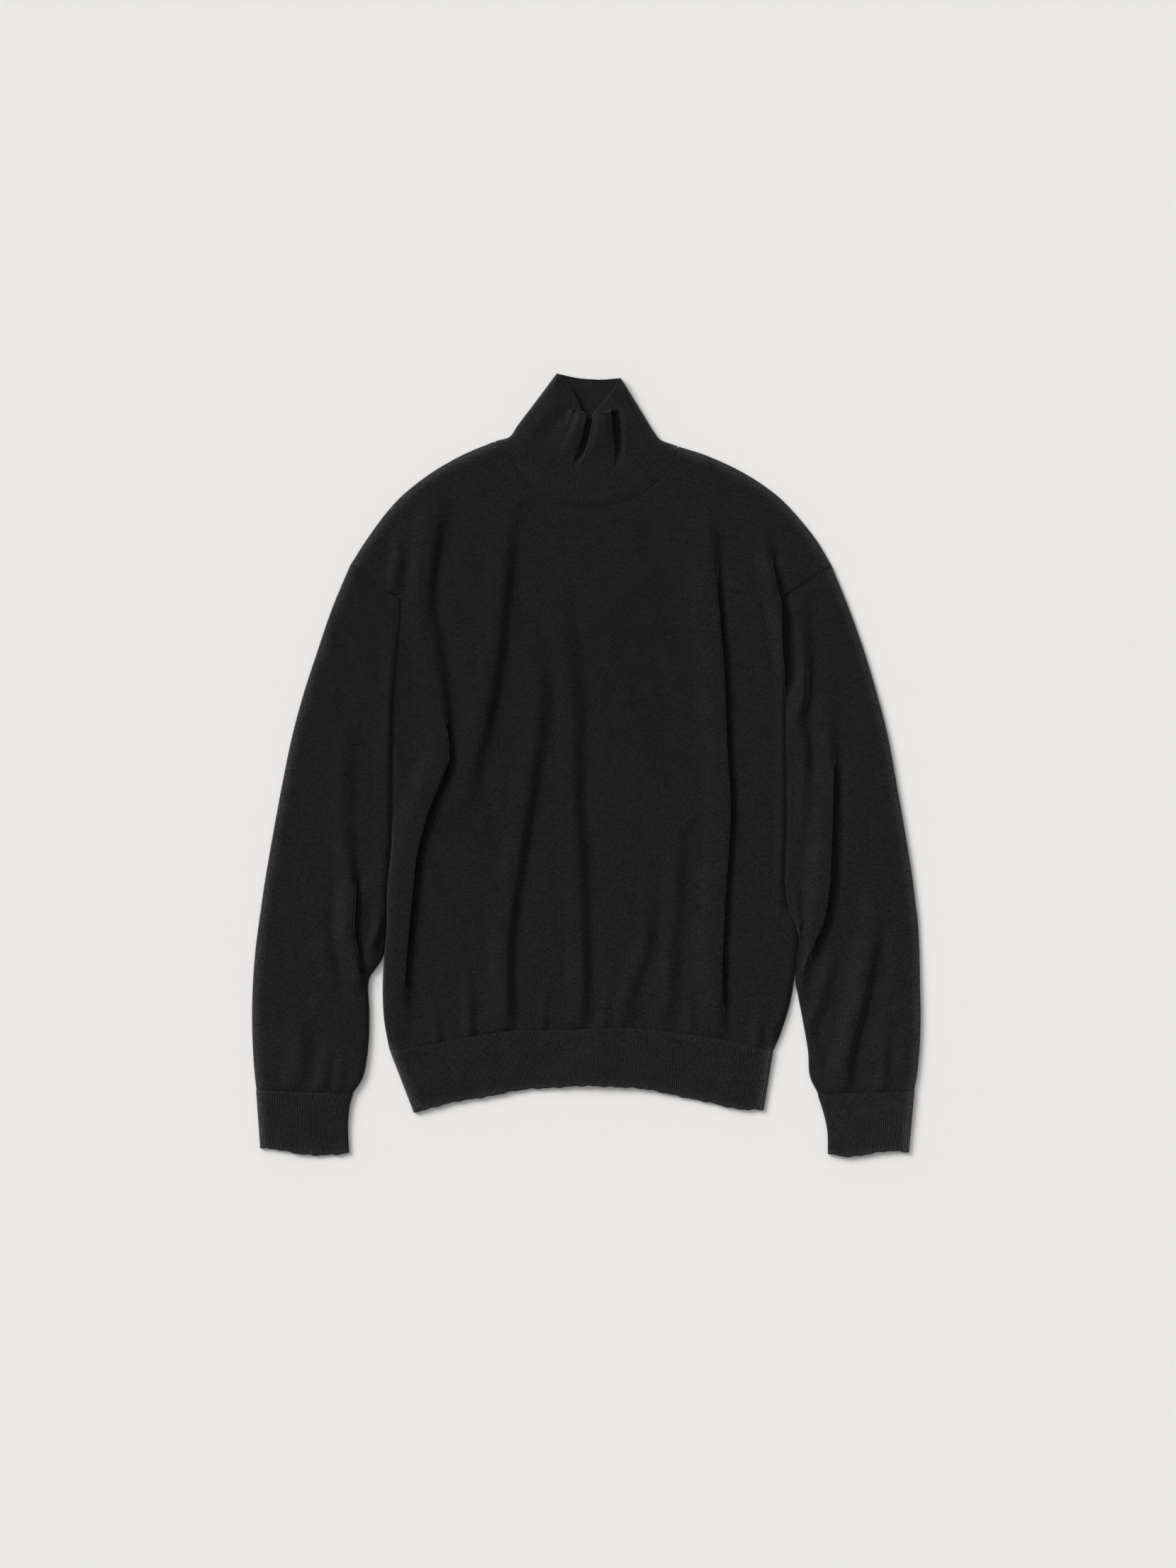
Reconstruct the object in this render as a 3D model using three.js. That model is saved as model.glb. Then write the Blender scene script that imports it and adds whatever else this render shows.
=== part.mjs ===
import * as THREE from 'three';

// Turtleneck sweater laid flat on its back: fine black knit, dropped shoulders, long sleeves beside
// the body, ribbed cuffs and hem band, and a tall ribbed collar whose mouth falls into two pleats.
// Millimetres. +Z is up from the surface, +Y runs to the neck, left and right are as seen from above.

// Cloth and seams
const CLOTH = 1.6;
const SEAM_GAP = 0.3;
const SEAM_INSET = 0.3;
const BACK_TOP = CLOTH;
const FRONT_FLOOR = BACK_TOP + SEAM_GAP;
const SEAM_TOP = 4.6;
const SEAM_RISE = 7;
const BODY_TOP = 6.5;
const SLEEVE_TOP = 6.7;
const COLLAR_TOP = 7.6;
const EDGE_ROLL = 7;
const SEAM_RADIUS = SEAM_TOP / 2;
const SLEEVE_RADIUS = 3;

// Lengths that the cloth's shares are taken of, and where one layer eases into the next
const SIDE_LENGTH = 500;
const ARMHOLE_LENGTH = 57.5;
const SLEEVE_LENGTH = 510;
const SLEEVE_HEAD = 60;
const COLLAR_LENGTH = 70;
const COLLAR_EDGE = SEAM_TOP + 1.4;
const COLLAR_SIDE_EASE = 0.3;
const NECK_CENTRE = [0, 330];
const NECK_SHARES = [0.3, 0.68];
const NECK_EASE = 0.015;
const ARMHOLE_EASE = { below: 0.03, above: 0.01 };
const EDGE_SHARE = 0.04;
const RIB_EASE = 0.02;
const SLEEVE_END = 0.05;

// Rows and columns of the meshes: heights up the side and the armhole, steps in from an edge and
// across a fold, and shares of a sleeve's or the collar's length
const SIDE_ROWS = [0, 2, SEAM_RISE, 20, 48, 85, 125, 165, 205, 245, 285, 325, 365, 404];
const ARMHOLE_ROWS = [57.5, 50, 42, 33, 24, 15, 7, 3.5, 1, 0];
const EDGE_STEPS = [0, 1, 3.5, EDGE_ROLL];
const LEAST_STEP = 0.0028;
const SLEEVE_ROWS = [
  0, 0.003, 0.014, 0.06, 0.13, 0.2, 0.27, 0.34, 0.41, 0.48, 0.55, 0.62, 0.69, 0.76, 0.83, 0.9, 0.95,
  0.986, 0.997, 1,
];
const SLEEVE_INNER_ROWS = [0, 0.014, 0.1, 0.2, 0.3, 0.4, 0.5, 0.6, 0.7, 0.8, 0.9, 0.986, 1];
const COLLAR_ROWS = [0, 0.05, 0.25, 0.5, 0.7, 0.88, 1];
const COLLAR_INNER_ROWS = [0, 0.25, 0.5, 0.7, 0.88, 1];
const BAND_ROWS = [0, 0.5, 1];
const CURVE_STEPS = 400;
const HALVINGS = 40;
const BACK_COUNT = { hem: 30, side: 22, shoulder: 14, neck: 10 };
const SLEEVE_COLUMNS = { across: 18, inside: 12, below: 3 };
const CUFF_COLUMNS = { inside: 12, below: 6 };
const HEM_COLUMNS = { inside: 34, below: 17 };
const COLLAR_COLUMNS = { inside: 44, below: 14 };

// Ribs, one knit stitch up and one down
const RIB_HEIGHT = 0.5;
const HEM_RIBS = 162;
const CUFF_RIBS = 38;
const COLLAR_RIBS = 84;

// Body outline, left side from hem to underarm, then armhole to shoulder tip, shoulder to neck
const SIDE_LEFT = [
  [-189, -273.7], [-194, -246], [-195.5, -219], [-194.5, -190], [-191.5, -150], [-192, -110],
  [-189, -85], [-187.5, -57], [-187, 0], [-185.5, 50], [-182, 100], [-179, 137], [-178, 163],
];
const ARMHOLE_LEFT = [[-178, 163], [-190, 165.5], [-200, 174], [-210, 185.5], [-227, 191]];
const SHOULDER_LEFT = [
  [-227, 191], [-211, 216], [-191, 243], [-178, 257], [-162, 270.5], [-142.5, 284], [-117, 298],
  [-88, 310],
];
const NECKLINE = [
  [-88, 310], [-77, 300], [-67, 286], [-56, 271], [-38, 257], [-22, 250], [0, 247.5], [20, 248],
  [35, 252], [49, 258], [62, 268], [75, 280], [83, 294], [88, 305],
];
const SHOULDER_RIGHT = [
  [88, 305], [111, 298], [143, 284], [166, 270.5], [184, 257], [198, 243], [220, 216], [235, 191],
];
const ARMHOLE_RIGHT = [[187, 162], [203, 170], [219, 181], [235, 191]];
const SIDE_RIGHT = [
  [179, -274.7], [188, -260], [196, -230], [199, -207], [201.5, -180], [200, -163], [194, -148],
  [189.5, -135], [190.5, -97], [192, -55], [191.5, 10], [191, 62], [190, 86], [187.5, 116], [187, 162],
];
const HEM_SEAM = [
  [-189, -274], [-160, -270], [-117, -262], [-66, -255], [-20, -254.5], [26, -252.5], [67, -255],
  [127, -263], [179, -275],
];
const HEM_EDGE = [
  [-166, -334], [-133, -326], [-92, -318], [-55, -312], [-29, -310], [10, -309], [38, -310],
  [78, -316], [117, -325], [142, -330], [170, -332],
];
const BACK_NECK = [[-88, 310], [-50, 303], [0, 300], [50, 300.5], [88, 305]];

// Sleeves, a row for each section: outer edge, then inner edge
const SLEEVE_LEFT_ROWS = [
  { outer: [-227, 190.7], inner: [-178.5, 162] },
  { outer: [-245, 148], inner: [-181, 134] },
  { outer: [-259, 107], inner: [-183.5, 101] },
  { outer: [-272, 67], inner: [-187, 60] },
  { outer: [-283, 26], inner: [-188.5, 17] },
  { outer: [-291.5, -15], inner: [-189, -20] },
  { outer: [-301.5, -69], inner: [-190.5, -70] },
  { outer: [-308.5, -110], inner: [-194, -109] },
  { outer: [-314.5, -151], inner: [-194, -151] },
  { outer: [-318, -178], inner: [-197, -178] },
  { outer: [-320.5, -211], inner: [-209, -208] },
  { outer: [-321.3, -240], inner: [-208.5, -238] },
  { outer: [-320.5, -273], inner: [-209.5, -270] },
  { outer: [-318.5, -300], inner: [-215, -301] },
  { outer: [-317, -312], inner: [-224.5, -316] },
];
const SLEEVE_RIGHT_ROWS = [
  { outer: [235, 190.7], inner: [187.5, 161.5] },
  { outer: [252.5, 148], inner: [189.3, 135] },
  { outer: [267, 107], inner: [190.5, 100] },
  { outer: [279, 67], inner: [193.2, 60] },
  { outer: [289.5, 26], inner: [193.5, 17] },
  { outer: [297, -15], inner: [193.8, -20] },
  { outer: [306.5, -69], inner: [193.5, -70] },
  { outer: [313, -110], inner: [192, -108] },
  { outer: [316, -135], inner: [192.5, -134] },
  { outer: [318, -151], inner: [198, -150] },
  { outer: [319.5, -178], inner: [203.8, -177] },
  { outer: [320.2, -211], inner: [201.8, -212] },
  { outer: [320.8, -242], inner: [207, -243] },
  { outer: [319.5, -276], inner: [212.5, -275] },
  { outer: [317, -300], inner: [214.5, -300] },
  { outer: [314.5, -313], inner: [222, -316] },
];
const CUFF_LEFT_EDGE = [
  [-313, -369], [-293, -370.5], [-269, -374.5], [-253, -375.5], [-238, -374.5], [-228.5, -372.5],
];
const CUFF_RIGHT_EDGE = [
  [232, -374], [250, -376.7], [274, -373], [286, -371.5], [309, -372.5],
];
const CUFF_INNER_LEFT = [[-224.5, -316], [-227.5, -326], [-229.5, -346], [-228.5, -372.5]];
const CUFF_INNER_RIGHT = [[222, -316], [228, -335], [231.5, -352], [232, -374]];

// Collar outline: side edges from seam to mouth, back edge and front edge of the mouth
const COLLAR_LEFT = [[-88, 310], [-74, 314], [-66, 325], [-47, 350], [-28.3, 375.2]];
const COLLAR_RIGHT = [[88, 305], [70.5, 311.5], [65, 318], [49, 344], [32.3, 371]];
const MOUTH_BACK = [[-28.3, 375.2], [-9, 371], [1, 370], [17, 369.5], [32.3, 371]];
const MOUTH_FRONT = [
  [-28.3, 375.2], [-17, 363], [-11.5, 354], [-6.5, 344.5], [-4.5, 338], [-1, 334.5], [2.5, 333],
  [6, 336], [11, 341.5], [22, 355], [29.5, 366], [32.3, 371],
];

// Folds: each is a ridge that falls steeply on its right. line gives the place of the fall at a
// few heights up the garment, from and to are its lower and upper ends, rise is the ridge's height.
// The mesh has columns at a few steps across each fold, more where it rises over DEEP_FOLD
const FOLD_WIDTH = 12;
const FOLD_CREST = 3;
const FOLD_DROP = 2.5;
const FOLD_DIP = 0.3;
const FOLD_FADE = 35;
const DEEP_FOLD = 3.5;
const DEEP_STEPS = [-FOLD_WIDTH, -7, -FOLD_CREST, FOLD_DROP, 8];
const SOFT_STEPS = [-8, -FOLD_CREST, FOLD_DROP];
const FRONT_FOLDS = [
  {
    name: 'armpit', rise: 3, from: 170, to: 222,
    line: [[163, -183], [176, -183], [193, -178], [212, -171], [250, -160]],
  },
  {
    name: 'long', rise: 7, from: -268, to: 255,
    line: [
      [-270, -167], [-231, -170], [-191, -169.5], [-122, -163], [-87, -159], [-49, -149], [-14, -135],
      [5, -128], [39, -131], [86, -136], [120, -141], [156, -147], [182, -145], [241, -136], [285, -124],
    ],
  },
  {
    name: 'upper', rise: 4.5, from: -20, to: 255,
    line: [
      [-262, -106], [-216, -108], [-100, -112], [4, -101], [55, -88], [116, -78], [182, -73],
      [227, -68], [275, -60],
    ],
  },
  {
    name: 'slant', rise: 5, from: -258, to: 100,
    line: [
      [-253, -70.5], [-219, -71.5], [-185, -71.5], [-151, -69], [-117, -64], [-83, -59], [-49, -53.5],
      [-15, -48], [19, -42.5], [71, -36.5], [150, -36], [250, -38],
    ],
  },
  {
    name: 'centre', rise: 5, from: -255, to: 150,
    line: [
      [-249, 1], [-185, 1.5], [-117, -1], [-49, -5], [19, -6], [69, -7], [96, -11], [146, -17], [250, -18],
    ],
  },
  {
    name: 'small', rise: 3, from: -258, to: -150,
    line: [[-252, 41], [-219, 47], [-185, 58], [-151, 65], [0, 60], [120, 54], [250, 50]],
  },
  {
    name: 'sharp', rise: 8, from: -264, to: 262,
    line: [
      [-260, 133.5], [-185, 133.5], [-117, 137], [-49, 141], [-15, 140], [19, 137.5], [87, 135],
      [155, 129.5], [189, 127], [222, 125.5], [290, 121],
    ],
  },
  {
    name: 'cap', rise: 5, from: 150, to: 222,
    line: [[120, 178], [162, 181], [186, 180], [207, 176.5], [250, 166]],
  },
];
const NECK_LINES = [
  [[-260, -130], [-100, -136], [5, -114], [116, -107], [227, -98], [310, -88]],
  [[-252, 84], [-117, 90], [0, 90], [305, 88]],
];
const LEFT_SLEEVE_FOLDS = [
  {
    name: 'inner crease', rise: 4, from: -215, to: 25,
    line: [
      [-207, -212], [-185, -216.5], [-159, -222], [-117, -220], [-83, -224], [-49, -225.5],
      [-15, -226], [30, -222], [160, -200],
    ],
  },
  {
    name: 'soft trough', rise: 2.5, from: -225, to: -140,
    line: [[-300, -239], [-217, -238], [-196, -239], [-173, -244], [-149, -248]],
  },
  {
    name: 'lower trough', rise: 3, from: -320, to: -240,
    line: [[-313, -275], [-296, -270.5], [-277, -267.5], [-249, -263], [-200, -262]],
  },
];
const RIGHT_SLEEVE_FOLDS = [
  {
    name: 'upper crease', rise: 4.5, from: -85, to: 165,
    line: [
      [-120, 213], [-50, 214.5], [7, 214.5], [30, 212], [46, 208], [60, 211], [87, 213],
      [121, 212.5], [167, 210.5],
    ],
  },
  {
    name: 'deep crease', rise: 7, from: -215, to: 95,
    line: [
      [-212, 208], [-189, 214.5], [-169, 222], [-151, 231], [-117, 234.5], [-83, 236.5],
      [-15, 239], [19, 239], [78, 236.5], [120, 234],
    ],
  },
  {
    name: 'lower crease', rise: 5, from: -322, to: -95,
    line: [
      [-313, 254.5], [-291, 254], [-269, 258], [-245, 264], [-219, 270.5], [-185, 277],
      [-151, 282], [-117, 282], [-80, 281],
    ],
  },
];

// Collar relief: lines from seam to mouth, left to right, with the height at the mouth
const PLEAT_FOOT = 284;
const PLEAT_TOP = 332;
const COLLAR_LINES = [
  { name: 'left roll', height: 9.5, line: [[284, -64], [315, -52], [345, -26]] },
  { name: 'soft valley', height: 9, line: [[284, -46], [315, -36], [332, -21], [345, -7.5]] },
  { name: 'first crown, left', height: 15.5, line: [[284, -31], [300, -27], [333, -9], [345, -4]] },
  { name: 'first crown, right', height: 16, line: [[284, -16], [333, -1.2]] },
  { name: 'first gap', height: 9.4, line: [[284, -10.5], [333, 2.6]] },
  { name: 'second crown, left', height: 16, line: [[284, -4], [333, 6.4]] },
  { name: 'second crown, right', height: 16.5, line: [[284, 25], [336, 21]] },
  { name: 'second gap', height: 9.6, line: [[284, 29.5], [336, 26]] },
  { name: 'right layer', height: 10.5, line: [[284, 35], [336, 31], [355, 28]] },
  { name: 'right roll', height: 10, line: [[284, 66], [318, 52], [355, 34]] },
];
const LIP = { from: 7, to: 24, start: 336.5, slope: 0.33, fall: 3.5, below: 11, ease: [2, 3] };

// Small maths
const QUARTER_TURN = Math.PI / 2;
const lerp = THREE.MathUtils.lerp;
const smooth = THREE.MathUtils.smoothstep;
const mix2 = (a, b, t) => [lerp(a[0], b[0], t), lerp(a[1], b[1], t)];

// A smooth curve through points, read by its share of the length
function along(points) {
  const curve = new THREE.CatmullRomCurve3(points.map(([x, y]) => new THREE.Vector3(x, y, 0)));
  curve.arcLengthDivisions = CURVE_STEPS;
  return (t) => {
    const p = curve.getPointAt(THREE.MathUtils.clamp(t, 0, 1));
    return [p.x, p.y];
  };
}

// x for any y, on a smooth line through [y, x] pairs that are sorted by y
function xAt(pairs) {
  const slope = (i) => {
    const a = pairs[Math.max(i - 1, 0)];
    const b = pairs[Math.min(i + 1, pairs.length - 1)];
    return (b[1] - a[1]) / (b[0] - a[0]);
  };
  return (y) => {
    const last = pairs.length - 1;
    if (y <= pairs[0][0]) return pairs[0][1];
    if (y >= pairs[last][0]) return pairs[last][1];
    let i = 0;
    while (pairs[i + 1][0] < y) i += 1;
    const [y0, x0] = pairs[i];
    const [y1, x1] = pairs[i + 1];
    const span = y1 - y0;
    const t = (y - y0) / span;
    const ease = t * t * (3 - 2 * t);
    const bendIn = t * (1 - t) * (1 - t) * span * slope(i);
    const bendOut = t * t * (1 - t) * span * slope(i + 1);
    return lerp(x0, x1, ease) + bendIn - bendOut;
  };
}

// Height of one fold at a place
function foldHeight(fold, x, y) {
  const e = x - fold.at(y);
  if (e < -FOLD_WIDTH || e > FOLD_WIDTH) return 0;
  const fade = smooth(y, fold.from, fold.from + FOLD_FADE) * (1 - smooth(y, fold.to - FOLD_FADE, fold.to));
  if (e < -FOLD_CREST) return fold.rise * fade * smooth(e, -FOLD_WIDTH, -FOLD_CREST);
  if (e < FOLD_DROP) return fold.rise * fade * lerp(1, -FOLD_DIP, smooth(e, -FOLD_CREST, FOLD_DROP));
  return -fold.rise * fade * FOLD_DIP * (1 - smooth(e, FOLD_DROP, FOLD_WIDTH));
}

function foldsHeight(folds, x, y) {
  return folds.reduce((sum, fold) => sum + foldHeight(fold, x, y), 0);
}

// Quarter round: 0 at an edge, 1 from radius inwards
function round(distance, radius) {
  const left = Math.max(1 - distance / radius, 0);
  return Math.sqrt(Math.max(1 - left * left, 0));
}

// A closed body is gathered here: points, then faces
class Body {
  constructor() {
    this.points = [];
    this.faces = [];
  }

  add(p) {
    this.points.push(p[0], p[1], p[2]);
    return this.points.length / 3 - 1;
  }

  quad(a, b, c, d) {
    this.faces.push(a, b, c, a, c, d);
  }

  // Skin over rows of points; a closed skin joins each row's last point to its first
  skin(rows, closed, inwards) {
    for (let j = 0; j + 1 < rows.length; j += 1) {
      const count = rows[j].length;
      for (let i = 0; i + (closed ? 0 : 1) < count; i += 1) {
        const next = (i + 1) % count;
        const corners = [rows[j][i], rows[j][next], rows[j + 1][next], rows[j + 1][i]];
        if (inwards) corners.reverse();
        this.quad(...corners);
      }
    }
  }

  // Band between an outer and an inner loop with different numbers of points
  band(outer, outerAt, inner, innerAt, flipped) {
    let i = 0;
    let k = 0;
    const stepOuter = () => (i < outer.length ? (outerAt[i + 1] ?? 2) : Infinity);
    const stepInner = () => (k < inner.length ? (innerAt[k + 1] ?? 2) : Infinity);
    while (i < outer.length || k < inner.length) {
      const a = outer[i % outer.length];
      const b = inner[k % inner.length];
      let face;
      if (stepOuter() <= stepInner()) {
        face = [a, b, outer[(i + 1) % outer.length]];
        i += 1;
      } else {
        face = [a, b, inner[(k + 1) % inner.length]];
        k += 1;
      }
      if (flipped) face.reverse();
      this.faces.push(...face);
    }
  }

  geometry() {
    const geometry = new THREE.BufferGeometry();
    geometry.setAttribute('position', new THREE.Float32BufferAttribute(this.points, 3));
    geometry.setIndex(this.faces);
    geometry.computeVertexNormals();
    return geometry;
  }
}

// A patch between four boundary curves: low and high run left to right, left and right run upwards
function patch(low, high, left, right) {
  const [c00, c10, c01, c11] = [low(0), low(1), high(0), high(1)];
  return (s, v) => {
    const f = v * v;
    const a = left(v);
    const b = right(v);
    const p = low(s);
    const q = high(s);
    return [0, 1].map((k) => lerp(a[k], b[k], s) + lerp(p[k], q[k], f)
      - lerp(lerp(c00[k], c10[k], s), lerp(c01[k], c11[k], s), f));
  };
}

// Where along a row a line of x by y crosses it
function crossing(surface, v, at) {
  let low = 0;
  let high = 1;
  for (let n = 0; n < HALVINGS; n += 1) {
    const middle = (low + high) / 2;
    const [x, y] = surface(middle, v);
    if (x < at(y)) low = middle;
    else high = middle;
  }
  return (low + high) / 2;
}

const normalOf = (across, up) => new THREE.Vector3().crossVectors(across, up).normalize();

// Moves a curve's points off a seam, away from or towards a centre
function offSeam(curve, centre, distance) {
  return (t) => {
    const [x, y] = curve(t);
    const length = Math.hypot(x - centre[0], y - centre[1]);
    const scale = 1 + distance / length;
    return [centre[0] + (x - centre[0]) * scale, centre[1] + (y - centre[1]) * scale];
  };
}

// A curve's chords between a few shares of it, so that the pieces on both sides of a seam match
function chords(curve, shares) {
  const corners = shares.map(curve);
  return (t) => {
    let i = 0;
    while (i < shares.length - 2 && shares[i + 1] < t) i += 1;
    return mix2(corners[i], corners[i + 1], (t - shares[i]) / (shares[i + 1] - shares[i]));
  };
}

const moved = (curve, dx, dy) => (t) => {
  const [x, y] = curve(t);
  return [x + dx, y + dy];
};

// Two curves end to end, meeting at share
function joined(first, second, share) {
  return (t) => (t < share ? first(t / share) : second((t - share) / (1 - share)));
}

const black = (shade, roughness) => new THREE.MeshStandardMaterial({ color: shade, roughness, metalness: 0 });
const jersey = black(0x22211f, 0.95);
const ribbing = black(0x262425, 0.95);

const group = new THREE.Group();
group.name = 'turtleneck_sweater';

function addMesh(name, geometry, material) {
  const mesh = new THREE.Mesh(geometry, material);
  mesh.name = name;
  group.add(mesh);
}

// Shared curves
const UNDERARM_SHARE = 1 - ARMHOLE_LENGTH / SIDE_LENGTH;
const armholeShares = ARMHOLE_ROWS.map((d) => 1 - d / ARMHOLE_LENGTH);
const armholeLeft = chords(along(ARMHOLE_LEFT), armholeShares);
const armholeRight = chords(along(ARMHOLE_RIGHT), armholeShares);
const neckline = along(NECKLINE);
const shoulderLeft = along(SHOULDER_LEFT);
const shoulderRight = along(SHOULDER_RIGHT);
const hemSeam = along(HEM_SEAM);
const sideLeft = along(SIDE_LEFT);
const sideRight = along(SIDE_RIGHT);
const backNeck = along(BACK_NECK);

// Front panel: a wall between the hem seam, the sides and armholes, the shoulders and the neckline
function frontPanel() {
  const frontNeck = offSeam(neckline, NECK_CENTRE, SEAM_INSET);
  const shoulders = (t) => {
    if (t < NECK_SHARES[0]) return shoulderLeft(t / NECK_SHARES[0]);
    if (t > NECK_SHARES[1]) return shoulderRight((t - NECK_SHARES[1]) / (1 - NECK_SHARES[1]));
    return frontNeck((t - NECK_SHARES[0]) / (NECK_SHARES[1] - NECK_SHARES[0]));
  };
  const surface = patch(
    moved(hemSeam, 0, SEAM_INSET),
    shoulders,
    joined(sideLeft, armholeLeft, UNDERARM_SHARE),
    joined(sideRight, armholeRight, UNDERARM_SHARE),
  );

  // Share of the height of each row, from millimetres up the side
  const rowShares = [
    ...SIDE_ROWS.map((d) => d / SIDE_LENGTH),
    ...ARMHOLE_ROWS.map((d) => 1 - d / SIDE_LENGTH),
  ];

  const folds = FRONT_FOLDS.map((fold) => ({ ...fold, at: xAt(fold.line) }));
  const necks = NECK_LINES.map((line) => ({ at: xAt(line) }));
  const stepsOf = (fold) => (fold.rise > DEEP_FOLD ? DEEP_STEPS : SOFT_STEPS);
  const guideOf = (fold, filling) => ({ at: fold.at, steps: stepsOf(fold), filling });
  const [armpit, long, upper, slant, centre, small, sharp, cap] = folds;
  const guides = [
    guideOf(armpit, 0), guideOf(long, 0), { at: necks[0].at, steps: [0], filling: 0 },
    guideOf(upper, 2), guideOf(slant, 1), guideOf(centre, 1), guideOf(small, 4),
    { at: necks[1].at, steps: [0], filling: 3 }, guideOf(sharp, 1), guideOf(cap, 1),
  ];

  const shares = rowShares.map((v) => {
    const [x0] = surface(0, v);
    const [x1] = surface(1, v);
    const share = (mm) => mm / (x1 - x0);
    const row = EDGE_STEPS.map(share);
    guides.forEach((guide) => {
      const middle = crossing(surface, v, guide.at);
      const first = middle + share(guide.steps[0]);
      const before = row.at(-1);
      for (let n = 1; n <= guide.filling; n += 1) {
        row.push(lerp(before, first, n / (guide.filling + 1)));
      }
      guide.steps.forEach((step) => row.push(middle + share(step)));
    });
    row.push(...EDGE_STEPS.slice().reverse().map((step) => 1 - share(step)));
    for (let i = 1; i < row.length; i += 1) row[i] = Math.max(row[i], row[i - 1] + LEAST_STEP);
    row[row.length - 1] = 1;
    for (let i = row.length - 2; i > 0; i -= 1) row[i] = Math.min(row[i], row[i + 1] - LEAST_STEP);
    return row;
  });

  const past = (s, share) => smooth(s, share - NECK_EASE, share + NECK_EASE);
  const onNeck = (s) => past(s, NECK_SHARES[0]) * (1 - past(s, NECK_SHARES[1]));
  const armholeFrom = UNDERARM_SHARE - ARMHOLE_EASE.below;
  const onArmhole = (v) => smooth(v, armholeFrom, UNDERARM_SHARE + ARMHOLE_EASE.above);
  const seamLift = SEAM_TOP - FRONT_FLOOR;

  const point = (s, v) => {
    const [x, y] = surface(s, v);
    const [xl, yl] = surface(s < 0.5 ? 0 : 1, v);
    const [xt, yt] = surface(s, 1);
    const fromSide = round(Math.hypot(x - xl, y - yl), EDGE_ROLL);
    const fromTopEdge = round(Math.hypot(x - xt, y - yt), EDGE_ROLL);
    const fromHemSeam = round(v * SIDE_LENGTH, SEAM_RISE);
    const seamSide = onArmhole(v);
    const seamTop = onNeck(s);
    const rolled = lerp(fromSide, 1, seamSide) * lerp(fromTopEdge, 1, seamTop);
    const lifted = lerp(1, fromSide, seamSide) * lerp(1, fromTopEdge, seamTop) * fromHemSeam;
    const full = BODY_TOP + foldsHeight(folds, x, y) - SEAM_TOP;
    return new THREE.Vector3(x, y, FRONT_FLOOR + rolled * (seamLift + full * lifted));
  };

  const body = new Body();
  const outer = rowShares.map((v, j) => shares[j].map((s) => point(s, v)));
  const last = { row: outer.length - 1, column: outer[0].length - 1 };
  const under = outer.map((row, j) => row.map((p, i) => {
    const across = row[Math.min(i + 1, last.column)].clone().sub(row[Math.max(i - 1, 0)]);
    const up = outer[Math.min(j + 1, last.row)][i].clone().sub(outer[Math.max(j - 1, 0)][i]);
    const q = p.clone().addScaledVector(normalOf(across, up), -CLOTH);
    q.z = Math.max(q.z, FRONT_FLOOR);
    return q;
  }));
  const add = (p) => body.add(p.toArray());
  const outerRows = outer.map((row) => row.map(add));
  const underRows = under.map((row) => row.map(add));
  body.skin(outerRows, false, false);
  body.skin(underRows, false, true);
  const border = (rows) => [
    ...rows[0],
    ...rows.slice(1).map((row) => row[last.column]),
    ...rows[last.row].slice(0, -1).reverse(),
    ...rows.slice(1, -1).reverse().map((row) => row[0]),
  ];
  body.skin([border(underRows), border(outerRows)], true, false);
  addMesh('front', body.geometry(), jersey);
}

// Back panel: flat cloth under the front, cut to the same outline with a shallow neck
function backPanel() {
  const take = (curve, count) => Array.from({ length: count }, (_, i) => curve(i / count));
  const reverse = (curve) => (t) => curve(1 - t);
  const neck = moved(backNeck, 0, -3 * SEAM_INSET);
  const count = BACK_COUNT;
  const outline = [
    ...take(moved(hemSeam, 0, SEAM_INSET), count.hem), ...take(sideRight, count.side),
    armholeRight(0), ...take(reverse(shoulderRight), count.shoulder), ...take(reverse(neck), count.neck),
    neck(0), ...take(reverse(shoulderLeft), count.shoulder).slice(1), armholeLeft(1),
    ...take(reverse(sideLeft), count.side),
  ];
  const shape = new THREE.Shape(outline.map(([x, y]) => new THREE.Vector2(x, y)));
  addMesh('back', new THREE.ExtrudeGeometry(shape, { depth: BACK_TOP, bevelEnabled: false }), jersey);
}

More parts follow.
